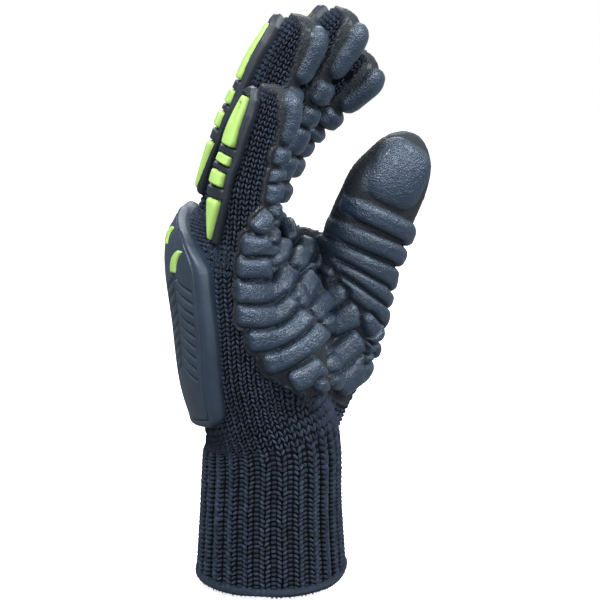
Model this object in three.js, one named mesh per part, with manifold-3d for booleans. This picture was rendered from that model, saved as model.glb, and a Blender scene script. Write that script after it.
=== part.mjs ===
// A right-hand knitted work glove in the shape it has when worn: fingers up, gently closed.
// Millimetres, +Z up from the wrist opening to the fingertips, palm facing -Y, thumb side +X.
// The origin is the middle of the wrist opening, in the plane of the hem.
import * as THREE from "three";
import { mergeVertices } from "three/addons/utils/BufferGeometryUtils.js";
import Module from "manifold-3d";

const wasm = await Module();
wasm.setup();

// Knitted shell
const KNIT_WALL = 2.2; // cotton and polyester yarn, one layer
const PIECE_GAP = 0.3; // clearance between pieces that touch on the real glove

// Cuff
const CUFF_HEIGHT = 63;
const CUFF_WIDTH = 68; // little-finger side to thumb side, over the ribs
const CUFF_DEPTH = 62; // palm side to back, over the ribs
const CUFF_RIBS = 28;
const CUFF_RIB_DEPTH = 1.1;
const HEM_HEIGHT = 3.4; // the rolled, overlocked edge
const HEM_PROUD = 1.0; // how far the hem stands out past the ribs

// Hand
const HEEL_LENGTH = 35; // wrist crease to the middle of the palm
const PALM_LENGTH = 48; // from there to the knuckles
const WEB_LENGTH = 26; // knuckles to the webs between the fingers
const PALM_WIDTH = 92;
const PALM_DEPTH = 36;
const PALM_CUP = 14; // how far the two edges of the palm curl forward of its middle
const HEEL_BULGE = 9; // muscle along the little-finger side
const HAND_LEANS = [0, -22, -11, 2]; // degrees forward of upright: cuff, heel, palm, webs

// Foam coating
const FOAM_SHEET = 1.6; // foam between the pads
const PAD_HEIGHT = 5.2; // pads over the palm
const FINGER_PAD_HEIGHT = 4.2;
const THUMB_PAD_HEIGHT = 3.6;

// Rubber guards
const GUARD_THICKNESS = 5.4; // back plate
const STRIP_BASE = 1.6; // finger strip, between its blocks
const STRIP_THICKNESS = 4.6; // finger strip, over its blocks
const RIB_GROOVE = 1.5; // depth of the herringbone grooves

const RADIANS = Math.PI / 180;
const lerp = THREE.MathUtils.lerp;
const clamp = THREE.MathUtils.clamp;
const vector = (x, y, z) => new THREE.Vector3(x, y, z);

// Smooth value of one named column of a table, at a stage between its rows.
function fromTable(rows, column, stage) {
  const last = rows.length - 1;
  const found = rows.findIndex((row) => row.stage > stage);
  const k = clamp((found < 0 ? last : found) - 1, 0, last - 1);
  const [a, b] = [rows[k], rows[k + 1]];
  const share = clamp((stage - a.stage) / (b.stage - a.stage), 0, 1);
  const slope = (i) => {
    const [before, after] = [rows[Math.max(i - 1, 0)], rows[Math.min(i + 1, last)]];
    return (after[column] - before[column]) / (after.stage - before.stage);
  };
  const span = b.stage - a.stage;
  const s2 = share * share;
  const s3 = s2 * share;
  return (
    a[column] * (2 * s3 - 3 * s2 + 1) +
    b[column] * (3 * s2 - 2 * s3) +
    span * slope(k) * (s3 - 2 * s2 + share) +
    span * slope(k + 1) * (s3 - s2)
  );
}

// Joints of a limb: each bone leans so many degrees forward of upright, about the side direction.
function jointsOf(start, side, bones, leans) {
  const ahead = vector(0, 0, 1);
  ahead.addScaledVector(side, -ahead.dot(side)).normalize();
  return bones.reduce((joints, bone, i) => {
    const heading = ahead.clone().applyAxisAngle(side, leans[i] * RADIANS);
    return [...joints, joints.at(-1).clone().addScaledVector(heading, bone)];
  }, [start]);
}

// A limb is a tube of sections along a bent spine. Stage counts bones along it: 0 to 1 is the first bone.
// Turn goes round a section in degrees: 0 is the side direction, 90 the back and 270 the palm.
function makeLimb({ joints, side, rows, squareness, dome, swell }) {
  const halfway = (a, b) => a.clone().lerp(b, 0.5);
  const points = joints.flatMap((joint, i) =>
    i ? [halfway(joints[i - 1], joint), joint] : [joint],
  );
  const curve = new THREE.CatmullRomCurve3(points, false, "catmullrom", 0.5);
  const end = joints.length - 1;

  const frameAt = (stage) => {
    const t = clamp(stage / end, 0, 1);
    const along = curve.getTangent(t).normalize();
    const across = side.clone().addScaledVector(along, -side.dot(along)).normalize();
    const back = along.clone().cross(across);
    const centre = curve.getPoint(t);
    if (stage < 0) centre.addScaledVector(along, stage * joints[0].distanceTo(joints[1]));
    return { centre, along, across, back };
  };

  const bare = (turn, stage) => {
    const { centre, across, back } = frameAt(stage);
    const past = Math.max((stage - dome) / (end - dome), 0);
    const shrink = Math.sqrt(Math.max(1 - past ** 2, 0));
    const [c, s] = [Math.cos(turn * RADIANS), Math.sin(turn * RADIANS)];
    const power = 2 / squareness;
    const x = (fromTable(rows, "width", stage) / 2) * Math.sign(c) * Math.abs(c) ** power;
    const y = (fromTable(rows, "depth", stage) / 2) * Math.sign(s) * Math.abs(s) ** power;
    const [dx, dy] = swell ? swell(c, s, stage) : [0, 0];
    return centre
      .addScaledVector(across, (x + dx) * shrink)
      .addScaledVector(back, (y + dy) * shrink);
  };

  const normal = (turn, stage) => {
    const step = 0.01;
    const at = Math.min(stage, end - 2 * step);
    const round = bare(turn + 100 * step, at).sub(bare(turn - 100 * step, at));
    const up = bare(turn, at + step).sub(bare(turn, at - step));
    return round.cross(up).normalize();
  };

  // A point on the skin, or so many millimetres proud of it.
  const skin = (turn, stage, proud = 0) =>
    bare(turn, stage).addScaledVector(normal(turn, stage), proud);

  return { skin, frameAt, end, dome };
}

// Closed solid from rings of points, with a point at each end.
function solidFromRings(rings, firstPole, lastPole) {
  const sides = rings[0].length;
  const positions = [firstPole, ...rings.flat(), lastPole];
  const at = (k, i) => 1 + k * sides + (i % sides);
  const triangles = [];
  for (let i = 0; i < sides; i++) {
    triangles.push([0, at(0, i + 1), at(0, i)]);
    for (let k = 0; k + 1 < rings.length; k++) {
      triangles.push([at(k, i), at(k, i + 1), at(k + 1, i + 1)]);
      triangles.push([at(k, i), at(k + 1, i + 1), at(k + 1, i)]);
    }
    triangles.push([positions.length - 1, at(rings.length - 1, i), at(rings.length - 1, i + 1)]);
  }
  return solidFromTriangles(positions, triangles);
}

// Closed solid between a grid of points on top and one below it.
function solidFromGrids(top, bottom) {
  const [rows, columns] = [top.length, top[0].length];
  const positions = [...top.flat(), ...bottom.flat()];
  const up = (r, c) => r * columns + c;
  const down = (r, c) => rows * columns + up(r, c);
  const triangles = [];
  const quad = (a, b, c, d) => triangles.push([a, b, c], [a, c, d]);
  for (let r = 0; r + 1 < rows; r++) {
    for (let c = 0; c + 1 < columns; c++) {
      quad(up(r, c), up(r, c + 1), up(r + 1, c + 1), up(r + 1, c));
      quad(down(r, c), down(r + 1, c), down(r + 1, c + 1), down(r, c + 1));
    }
    quad(up(r, 0), up(r + 1, 0), down(r + 1, 0), down(r, 0));
    quad(up(r, columns - 1), down(r, columns - 1), down(r + 1, columns - 1), up(r + 1, columns - 1));
  }
  for (let c = 0; c + 1 < columns; c++) {
    quad(up(0, c), down(0, c), down(0, c + 1), up(0, c + 1));
    quad(up(rows - 1, c), up(rows - 1, c + 1), down(rows - 1, c + 1), down(rows - 1, c));
  }
  return solidFromTriangles(positions, triangles);
}

function solidFromTriangles(positions, triangles) {
  const vertProperties = new Float32Array(positions.flatMap((p) => [p.x, p.y, p.z]));
  const build = (list) =>
    new wasm.Manifold(
      new wasm.Mesh({ numProp: 3, vertProperties, triVerts: new Uint32Array(list.flat()) }),
    );
  const made = build(triangles);
  return made.volume() > 0 ? made : build(triangles.map(([a, b, c]) => [a, c, b]));
}

function solidFromGeometry(geometry) {
  geometry.deleteAttribute("normal");
  geometry.deleteAttribute("uv");
  const merged = mergeVertices(geometry, 1e-3);
  return new wasm.Manifold(
    new wasm.Mesh({
      numProp: 3,
      vertProperties: merged.attributes.position.array,
      triVerts: new Uint32Array(merged.index.array),
    }),
  );
}

const evenly = (from, to, steps) =>
  Array.from({ length: steps + 1 }, (_, i) => lerp(from, to, i / steps));

// The filled form of a limb between two stages, so many millimetres proud of its skin.
function limbForm(limb, stages, sides, proud, turns = evenly(0, 360, sides).slice(0, -1)) {
  const rings = stages.map((stage) => turns.map((turn) => limb.skin(turn, stage, proud)));
  const first = limb.frameAt(stages[0]).centre;
  const last = limb.frameAt(stages.at(-1));
  const nose = stages.at(-1) > limb.dome ? limb.frameAt(limb.end).centre : last.centre;
  const closed = stages.at(-1) > limb.dome ? proud : 0;
  return solidFromRings(rings, first, nose.addScaledVector(last.along, closed));
}

// The hand, from the hem to the webs: cuff, palm, and the short stretch past the knuckles.
const HAND_ROWS = [
  { stage: 0.0, width: 1.03 * CUFF_WIDTH, depth: 1.07 * CUFF_DEPTH },
  { stage: 0.5, width: 1.0 * CUFF_WIDTH, depth: 1.0 * CUFF_DEPTH },
  { stage: 1.0, width: 0.98 * CUFF_WIDTH, depth: 0.95 * CUFF_DEPTH },
  { stage: 1.4, width: 0.78 * PALM_WIDTH, depth: 1.38 * PALM_DEPTH },
  { stage: 2.0, width: 0.9 * PALM_WIDTH, depth: 1.22 * PALM_DEPTH },
  { stage: 2.5, width: 0.98 * PALM_WIDTH, depth: 1.1 * PALM_DEPTH },
  { stage: 3.0, width: 1.0 * PALM_WIDTH, depth: 1.0 * PALM_DEPTH },
  { stage: 4.0, width: 0.97 * PALM_WIDTH, depth: 0.8 * PALM_DEPTH },
];

// How the palm departs from a plain oval: its edges curl forward, and a muscle swells its heel.
function handSwell(c, s, stage) {
  const cup = -PALM_CUP * c * c * clamp((stage - 1.2) / 1.8, 0, 1);
  const heel = HEEL_BULGE * Math.exp(-(((c + 0.42) / 0.45) ** 2) - ((stage - 2.1) / 0.75) ** 2);
  return [0, cup - Math.max(-s, 0) * heel];
}

const HAND_BONES = [CUFF_HEIGHT, HEEL_LENGTH, PALM_LENGTH, WEB_LENGTH];
const across = vector(1, 0, 0);
const hand = makeLimb({
  joints: jointsOf(vector(0, 0, 0), across, HAND_BONES, HAND_LEANS),
  side: across,
  rows: HAND_ROWS,
  squareness: 2.25,
  dome: 3.3,
  swell: handSwell,
});

// Fingers. The knuckle stands off the wrist crease by shares of the palm's width, depth and length.
// Bones run from the knuckle to the tip in millimetres, and lean so many degrees forward of upright.
// Splay tips a finger towards the thumb, and roll turns its back towards the little-finger side.
const FINGERS = [
  {
    name: "index",
    knuckle: [0.395, 0.56, 1.09],
    bones: [46, 27, 25],
    leans: [27, 49, 54],
    splay: 4,
    roll: -6,
    width: 21,
  },
  {
    name: "middle",
    knuckle: [0.135, 0.61, 1.08],
    bones: [50, 32, 28],
    leans: [26, 31, 38],
    splay: 1,
    roll: 0,
    width: 21.5,
  },
  {
    name: "ring",
    knuckle: [-0.135, 0.56, 1.06],
    bones: [46, 30, 26],
    leans: [17, 23, 30],
    splay: -2,
    roll: 8,
    width: 21,
  },
  {
    name: "little",
    knuckle: [-0.39, 0.2, 0.94],
    bones: [37, 22, 21],
    leans: [4, 14, 20],
    splay: -7,
    roll: 18,
    width: 20.5,
  },
];
const STUB_END = 0.55; // stage where a finger leaves the hand

// Width and depth along a finger, over its width at the root.
const FINGER_ROWS = [
  { stage: 0.0, wide: 1.0, deep: 1.16 },
  { stage: 0.5, wide: 1.0, deep: 1.16 },
  { stage: 1.0, wide: 0.99, deep: 1.12 },
  { stage: 1.5, wide: 0.95, deep: 1.03 },
  { stage: 2.0, wide: 0.94, deep: 0.98 },
  { stage: 2.5, wide: 0.9, deep: 0.92 },
  { stage: 3.0, wide: 0.86, deep: 0.88 },
];

function makeFinger({ knuckle, bones, leans, splay, roll, width }) {
  const start = vector(
    knuckle[0] * PALM_WIDTH,
    knuckle[1] * PALM_DEPTH,
    CUFF_HEIGHT + knuckle[2] * (HEEL_LENGTH + PALM_LENGTH),
  );
  const side = vector(1, 0, 0)
    .applyAxisAngle(vector(0, 0, 1), roll * RADIANS)
    .applyAxisAngle(vector(0, 1, 0), splay * RADIANS);
  return makeLimb({
    joints: jointsOf(start, side, bones, leans),
    side,
    rows: FINGER_ROWS.map(({ stage, wide, deep }) => ({
      stage,
      width: width * wide,
      depth: width * deep,
    })),
    squareness: 2.15,
    dome: 3 - (0.46 * width) / bones[2],
  });
}
const fingers = FINGERS.map((row) => ({ ...row, limb: makeFinger(row) }));

// Thumb, swung forward of the palm with its pad turned to the little-finger side. Joints run from the
// wrist to the tip, as shares of the palm's width, depth and length from the wrist crease.
const THUMB_JOINTS = [
  [0.22, -0.2, 0.04],
  [0.34, -0.79, 0.52],
  [0.35, -1.05, 0.98],
  [0.3, -1.64, 1.59],
];
const THUMB_WIDTH = 36;
const THUMB_DEPTH = 29;
const THUMB_FACING = -58; // degrees its pad is turned from the palm's own facing
const THUMB_ROWS = [
  { stage: 0.0, wide: 1.25, deep: 1.2 },
  { stage: 0.5, wide: 1.2, deep: 1.2 },
  { stage: 1.0, wide: 1.1, deep: 1.1 },
  { stage: 1.6, wide: 1.0, deep: 1.0 },
  { stage: 2.0, wide: 1.0, deep: 0.98 },
  { stage: 2.5, wide: 0.98, deep: 0.92 },
  { stage: 3.0, wide: 0.94, deep: 0.84 },
];
const THUMB_STUB_END = 1.35;
const placed = (shares) =>
  vector(
    shares[0] * PALM_WIDTH,
    shares[1] * PALM_DEPTH,
    CUFF_HEIGHT + shares[2] * (HEEL_LENGTH + PALM_LENGTH),
  );
const thumb = makeLimb({
  joints: THUMB_JOINTS.map(placed),
  side: vector(1, 0, 0).applyAxisAngle(vector(0, 0, 1), THUMB_FACING * RADIANS),
  rows: THUMB_ROWS.map(({ stage, wide, deep }) => ({
    stage,
    width: THUMB_WIDTH * wide,
    depth: THUMB_DEPTH * deep,
  })),
  squareness: 2.3,
  dome: 2.55,
});

// The fold of skin between the thumb and the index finger.
const WEB_JOINTS = [
  [0.26, 0.1, 0.3],
  [0.34, -0.15, 0.7],
  [0.36, -0.34, 1.06],
];
const web = makeLimb({
  joints: WEB_JOINTS.map(placed),
  side: across,
  rows: [
    { stage: 0, width: 24, depth: 44 },
    { stage: 1, width: 22, depth: 42 },
    { stage: 2, width: 16, depth: 36 },
  ],
  squareness: 2.2,
  dome: 1.5,
});

const COLOURS = {
  hem: { color: 0x14161b, roughness: 0.95 },
  knit: { color: 0x1b1e25, roughness: 0.95 },
  foam: { color: 0x23272e, roughness: 0.55 },
  guard: { color: 0x2b323b, roughness: 0.7 },
  accent: { color: 0xa5dc4c, roughness: 0.55 },
};
const glove = new THREE.Group();
const SIMPLIFY = 0.13; // slivers left by the cuts are folded away within this distance
function addPiece(name, solid, finish) {
  const mesh = solid.asOriginal().simplify(SIMPLIFY).getMesh();
  const points = new Float32Array(mesh.numVert * 3);
  for (let i = 0; i < mesh.numVert; i++) {
    points.set(mesh.vertProperties.subarray(i * mesh.numProp, i * mesh.numProp + 3), i * 3);
  }
  const geometry = new THREE.BufferGeometry();
  geometry.setAttribute("position", new THREE.BufferAttribute(points, 3));
  geometry.setIndex(new THREE.BufferAttribute(new Uint32Array(mesh.triVerts), 1));
  geometry.computeVertexNormals();
  const material = new THREE.MeshStandardMaterial({ metalness: 0, ...COLOURS[finish] });
  const piece = new THREE.Mesh(geometry, material);
  piece.name = name;
  glove.add(piece);
}

// Knitted shell: a hollow hand whose finger and thumb roots open into separate tubes.
const HAND_STAGES = [0.9, 1.2, 1.4, 1.7, 2.0, 2.35, 2.7, 3.0, 3.3, 3.6, 3.8, 3.93];
const HAND_INNER_STAGES = [0.85, 1.2, 1.5, 2.0, 2.5, 3.0, 3.4, 3.7, 3.9];
const STUB_STAGES = [0, 0.3, STUB_END];
const THUMB_STUB_STAGES = [0.05, 0.4, 0.8, 1.1, THUMB_STUB_END];
const WEB_STAGES = [0, 0.5, 1, 1.5, 1.8, 1.95];
const tipStages = (limb, from) => [
  ...evenly(from, 2, 4),
  lerp(2, limb.dome, 0.5),
  ...[0, 0.55, 0.85, 0.97].map((share) => lerp(limb.dome, limb.end, share)),
];

function handForm(handStages, sides, proud, reach) {
  const stretched = (stages) => [...stages.slice(0, -1), stages.at(-1) + reach];
  return fingers
    .reduce(
      (form, { limb }) => form.add(limbForm(limb, stretched(STUB_STAGES), sides.finger, proud)),
      limbForm(hand, handStages, sides.hand, proud),
    )
    .add(limbForm(web, WEB_STAGES, sides.finger, proud))
    .add(limbForm(thumb, stretched(THUMB_STUB_STAGES), sides.thumb, proud));
}
const OUTER_SIDES = { hand: 28, finger: 14, thumb: 16 };
const INNER_SIDES = { hand: 20, finger: 10, thumb: 12 };
const STAGE_GAP = 0.008; // a gap of PIECE_GAP, counted in bones

const handSolid = handForm(HAND_STAGES, OUTER_SIDES, 0, 0);
const clearance = handForm(HAND_STAGES, OUTER_SIDES, PIECE_GAP, 0);
const belowWrist = solidFromGeometry(
  new THREE.BoxGeometry(200, 200, CUFF_HEIGHT).translate(0, 0, CUFF_HEIGHT / 2),
);
const aboveWrist = belowWrist.translate([0, 0, CUFF_HEIGHT - PIECE_GAP]);
const largest = (solid) => solid.decompose().reduce((a, b) => (a.volume() > b.volume() ? a : b));
const handInside = handForm(HAND_INNER_STAGES, INNER_SIDES, -KNIT_WALL, 0.3);
addPiece("knit_hand", largest(handSolid.subtract(handInside).subtract(belowWrist)), "knit");

const tubes = {};
function addTube(name, limb, from, sides) {
  const stages = tipStages(limb, from + STAGE_GAP);
  tubes[name] = limbForm(limb, [from - STAGE_GAP, ...stages], sides.outer, PIECE_GAP);
  const outside = limbForm(limb, stages, sides.outer, 0);
  const inside = limbForm(limb, tipStages(limb, from - 0.05), sides.inner, -KNIT_WALL);
  addPiece(`knit_${name}`, largest(outside.subtract(inside).subtract(clearance)), "knit");
}
for (const { name, limb } of fingers) addTube(name, limb, STUB_END, { outer: 14, inner: 10 });
addTube("thumb", thumb, THUMB_STUB_END, { outer: 16, inner: 12 });

// Cuff with its ribs, and the rolled hem below it.
function ringForm(stages, sides, proud) {
  const turns = evenly(0, 360, sides).slice(0, -1);
  const rings = stages.map((stage, k) =>
    turns.map((turn, i) => hand.skin(turn, stage, proud(k, i))),
  );
  const [first, last] = [stages[0], stages.at(-1)].map((stage) => hand.frameAt(stage).centre);
  return solidFromRings(rings, first, last);
}
const CUFF_INSIDE = -CUFF_RIB_DEPTH - KNIT_WALL;
const HEM_STAGE = HEM_HEIGHT / CUFF_HEIGHT;
const CUFF_STAGES = evenly(HEM_STAGE + STAGE_GAP, 1.1, 3);
const cuffInside = limbForm(hand, [-0.1, 0, ...CUFF_STAGES, 1.15], CUFF_RIBS, CUFF_INSIDE);
addPiece(
  "knit_cuff",
  ringForm(CUFF_STAGES, 2 * CUFF_RIBS, (k, i) => (i % 2 ? -CUFF_RIB_DEPTH : 0))
    .subtract(cuffInside)
    .subtract(aboveWrist),
  "knit",
);
const HEM_PROFILE = [
  { share: 0, proud: -0.4 * HEM_PROUD },
  { share: 0.3, proud: HEM_PROUD },
  { share: 0.7, proud: HEM_PROUD },
  { share: 1, proud: -0.4 * HEM_PROUD },
];
addPiece(
  "cuff_hem",
  ringForm(
    HEM_PROFILE.map(({ share }) => share * HEM_STAGE),
    CUFF_RIBS,
    (k) => HEM_PROFILE[k].proud,
  ).subtract(cuffInside),
  "hem",
);

// A pad is a flattened sausage along a few points on a limb's skin, given as turn and stage.
const PAD_SIDES = 6;
function padOn(limb, points, width, height) {
  const track = new THREE.CatmullRomCurve3(points.map(([turn, stage]) => vector(turn, stage, 0)));
  const steps = points.length + 1;
  const centres = evenly(0, 1, steps).map((share) => {
    const { x: turn, y: stage } = track.getPoint(share);
    const low = limb.skin(turn, stage, 0.5);
    return { low, up: limb.skin(turn, stage, 1.5).sub(low) };
  });
  const ahead = (i) => {
    const [before, after] = [centres[Math.max(i - 1, 0)], centres[Math.min(i + 1, steps)]];
    return after.low.clone().sub(before.low).normalize();
  };
  const ring = (i, along, scale) => {
    const { low, up } = centres[i];
    const cross = ahead(i).cross(up).normalize();
    return evenly(0, 360, PAD_SIDES).slice(0, -1).map((turn) => {
      const [c, s] = [Math.cos(turn * RADIANS), Math.sin(turn * RADIANS)];
      return low
        .clone()
        .addScaledVector(ahead(i), along)
        .addScaledVector(cross, (c * width * scale) / 2)
        .addScaledVector(up, s > 0 ? s * (height - 0.5) * scale : 1.5 * s);
    });
  };
  const cap = 0.36 * width;
  const rings = [
    ring(0, -cap, 0.55),
    ...centres.map((_, i) => ring(i, 0, 1)),
    ring(steps, cap, 0.55),
  ];
  const pole = (i, along) => centres[i].low.clone().addScaledVector(ahead(i), along);
  return solidFromRings(rings, pole(0, -1.25 * cap), pole(steps, 1.25 * cap));
}

// Palm pads: limb, width over the standard pad's, and the turn and stage of each point.
const PAD_WIDTH = 9.2;
const PALM_PADS = [
  { limb: hand, wide: 0.95, points: [[192, 3.02], [214, 3.0]] },
  { limb: hand, wide: 0.98, points: [[190, 2.79], [206, 2.73], [232, 2.7], [246, 2.8]] },
  { limb: hand, wide: 0.94, points: [[189, 2.58], [206, 2.52], [226, 2.5], [241, 2.55]] },
  { limb: hand, wide: 0.92, points: [[197, 2.37], [220, 2.3], [238, 2.32], [250, 2.4]] },
  { limb: hand, wide: 0.9, points: [[209, 2.14], [226, 2.1], [245, 2.12], [260, 2.21]] },
  { limb: hand, wide: 1.05, points: [[226, 1.82], [240, 1.78], [258, 1.78]] },
  { limb: hand, wide: 0.75, points: [[250, 1.5], [256, 1.5]] },
  { limb: hand, wide: 0.8, points: [[236, 2.98], [246, 3.14]] },
  { limb: hand, wide: 0.85, points: [[262, 2.95], [284, 3.0]] },
  { limb: hand, wide: 0.85, points: [[262, 3.2], [284, 3.24]] },
  { limb: hand, wide: 0.85, points: [[270, 2.72], [292, 2.78]] },
  { limb: hand, wide: 0.85, points: [[300, 3.1], [322, 3.16]] },
  { limb: thumb, wide: 1.14, points: [[268, 0.5], [286, 0.78]] },
  { limb: thumb, wide: 1.14, points: [[252, 0.66], [265, 0.92]] },
  { limb: thumb, wide: 1.14, points: [[231, 1.04], [245, 1.22]] },
  { limb: thumb, wide: 0.8, points: [[276, 1.0], [286, 0.92]] },
  { limb: thumb, wide: 0.85, points: [[265, 1.22], [278, 1.1]] },
  { limb: web, wide: 0.95, points: [[198, 0.8], [212, 1.15]] },
  { limb: web, wide: 0.9, points: [[190, 0.98], [202, 1.4]] },
  { limb: web, wide: 0.95, points: [[182, 1.5], [186, 1.76]] },
];

const THUMB_PADS = [
  { wide: 0.8, points: [[224, 1.62], [252, 1.52], [272, 1.4]] },
  { wide: 0.75, points: [[208, 1.78], [240, 1.7], [276, 1.56]] },
  { wide: 0.92, points: [[196, 1.97], [238, 1.93], [280, 1.76]] },
  { wide: 0.92, points: [[199, 2.17], [241, 2.13], [283, 2.02]] },
  { wide: 0.9, points: [[208, 2.38], [243, 2.34], [286, 2.27]] },
];

// Where the foam on the hand starts and stops round its sections.
const PALM_FOAM = [
  { stage: 1.35, from: 236, to: 300 },
  { stage: 1.7, from: 217, to: 318 },
  { stage: 2.05, from: 204, to: 330 },
  { stage: 2.4, from: 190, to: 340 },
  { stage: 2.75, from: 185, to: 344 },
  { stage: 3.1, from: 184, to: 344 },
  { stage: 3.45, from: 185, to: 342 },
  { stage: 3.75, from: 192, to: 338 },
];
const FINGER_FOAM = [
  { stage: 0.2, from: 203, to: 340 },
  { stage: 0.9, from: 205, to: 338 },
  { stage: 1.5, from: 200, to: 340 },
  { stage: 2.1, from: 190, to: 350 },
  { stage: 2.6, from: 176, to: 364 },
  { stage: 3.0, from: 166, to: 374 },
];
const THUMB_FOAM = [
  { stage: 0.3, from: 190, to: 320 },
  { stage: 1.0, from: 160, to: 340 },
  { stage: 1.6, from: 135, to: 352 },
  { stage: 2.2, from: 118, to: 360 },
  { stage: 3.0, from: 96, to: 396 },
];
const SUNK = 1.4; // layers start below the skin and are cut clear of the knit
function foamSheet(limb, bounds, stages, columns, height = () => FOAM_SHEET) {
  const spread = stages.map((stage) =>
    evenly(fromTable(bounds, "from", stage), fromTable(bounds, "to", stage), columns),
  );
  const grid = (proud) =>
    stages.map((stage, r) => spread[r].map((turn) => limb.skin(turn, stage, proud(turn, stage))));
  return solidFromGrids(grid(height), grid(() => -SUNK));
}

const WEB_FOAM = [
  { stage: 0, from: 120, to: 300 },
  { stage: 2, from: 96, to: 320 },
];
// Finger foam: a sheet with pads across it and one long pad at the tip. Each pad runs between two stages.
const FINGER_PADS = [
  [0.62, 0.84],
  [0.89, 1.16],
  [1.22, 1.52],
  [1.58, 1.9],
  [1.98, 2.93],
];
const padEdges = (pads) =>
  pads.flatMap(([from, to]) => [from, lerp(from, to, 0.25), lerp(from, to, 0.75), to]);
const padShape = (pads, from, to, height) => (turn, stage) => {
  const inside = pads.some(([a, b]) => stage > a + 0.01 && stage < b - 0.01);
  const side = Math.sin(clamp((turn - from) / (to - from), 0, 1) * Math.PI);
  return FOAM_SHEET + (inside ? (height - FOAM_SHEET) * side ** 0.4 : 0);
};
const NOSE = 2.995;
const cleared = (solid) =>
  Object.values(tubes).reduce((left, tube) => left.subtract(tube), solid.subtract(clearance));
for (const { name, limb } of fingers) {
  const stages = [STUB_END + 2 * STAGE_GAP, ...padEdges(FINGER_PADS), NOSE];
  const shape = padShape(FINGER_PADS, 205, 335, FINGER_PAD_HEIGHT);
  const sheet = foamSheet(limb, FINGER_FOAM, stages, 7, shape);
  addPiece(`foam_${name}`, largest(cleared(sheet)), "foam");
}

// Foam over the palm, the web and the thumb is one dipped coat.
const THUMB_TIP_PAD = [[2.46, 2.95]];
const FINGER_BASE_PAD = [[226, 0.42], [312, 0.42]];
const coat = [
  foamSheet(hand, PALM_FOAM, PALM_FOAM.map(({ stage }) => stage), 9),
  foamSheet(web, WEB_FOAM, [0.3, 0.8, 1.3, 1.6, 1.8, 1.93], 8),
  foamSheet(
    thumb,
    THUMB_FOAM,
    [...evenly(0.35, 2.1, 5), ...padEdges(THUMB_TIP_PAD), NOSE],
    10,
    padShape(THUMB_TIP_PAD, 196, 300, THUMB_PAD_HEIGHT),
  ),
  ...fingers.map(({ limb }) => foamSheet(limb, FINGER_FOAM, [0.02, 0.28, STUB_END], 6)),
  ...fingers.map(({ limb }) => padOn(limb, FINGER_BASE_PAD, 0.9 * PAD_WIDTH, FINGER_PAD_HEIGHT)),
  ...PALM_PADS.map(({ limb, wide, points }) => padOn(limb, points, wide * PAD_WIDTH, PAD_HEIGHT)),
  ...THUMB_PADS.map(({ wide, points }) =>
    padOn(thumb, points, wide * PAD_WIDTH, THUMB_PAD_HEIGHT),
  ),
];
addPiece("foam_palm", largest(cleared(coat.reduce((a, b) => a.add(b)))), "foam");

// Back guard: a plate with a sloping rim, herringbone grooves and inlaid accents.
const GUARD_OUTLINE = [
  { stage: 1.55, from: 38, to: 156 },
  { stage: 1.75, from: 32, to: 165 },
  { stage: 2.3, from: 28, to: 167 },
  { stage: 3.05, from: 28, to: 162 },
  { stage: 3.4, from: 40, to: 147 },
  { stage: 3.66, from: 58, to: 128 },
  { stage: 3.84, from: 74, to: 112 },
];
function guardPlate() {
  const stages = [1.55, 1.63, 1.85, 2.2, 2.6, 3.0, 3.25, 3.5, 3.7, 3.84];
  const shares = [0, 0.035, 0.25, 0.5, 0.75, 0.965, 1];
  const last = stages.length - 1;
  const edge = (column, stage) => fromTable(GUARD_OUTLINE, column, stage);
  const turns = stages.map((stage) =>
    shares.map((share) => lerp(edge("from", stage), edge("to", stage), share)),
  );
  const rim = (r, c) => r === 0 || r === last || c === 0 || c === shares.length - 1;
  const grid = (height) =>
    stages.map((stage, r) => turns[r].map((turn, c) => hand.skin(turn, stage, height(r, c))));
  return solidFromGrids(
    grid((r, c) => (rim(r, c) ? 0.3 * GUARD_THICKNESS : GUARD_THICKNESS)),
    grid(() => -SUNK),
  );
}

// A groove with a V section, cut down into a limb's layer between two points given as turn and stage.
function groove(limb, [turnA, stageA], [turnB, stageB], width, top, depth) {
  const rings = evenly(0, 1, 2).map((share) => {
    const [turn, stage] = [lerp(turnA, turnB, share), lerp(stageA, stageB, share)];
    const high = limb.skin(turn, stage, top + depth);
    const low = limb.skin(turn, stage, top - depth);
    const ahead = limb.skin(turnB, stageB).sub(limb.skin(turnA, stageA)).normalize();
    const cross = ahead.cross(high.clone().sub(low)).normalize().multiplyScalar(width);
    return [high.clone().add(cross), low, high.clone().sub(cross)];
  });
  const middle = (ring) => ring.reduce((sum, p) => sum.add(p), vector(0, 0, 0)).divideScalar(3);
  return solidFromRings(rings, middle(rings[0]), middle(rings.at(-1)));
}
const HERRINGBONE = { spines: [127, 66], reach: 21, drop: 0.2, from: 2.2, to: 2.98, count: 9 };
function herringbone() {
  const { spines, reach, drop, from, to, count } = HERRINGBONE;
  const cut = (start, end) => groove(hand, start, end, 1.3, GUARD_THICKNESS, RIB_GROOVE);
  return spines.flatMap((spine) =>
    evenly(from, to, count - 1).flatMap((stage) =>
      [-1, 1].map((way) => cut([spine + 2 * way, stage], [spine + reach * way, stage - drop])),
    ),
  );
}

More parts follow.
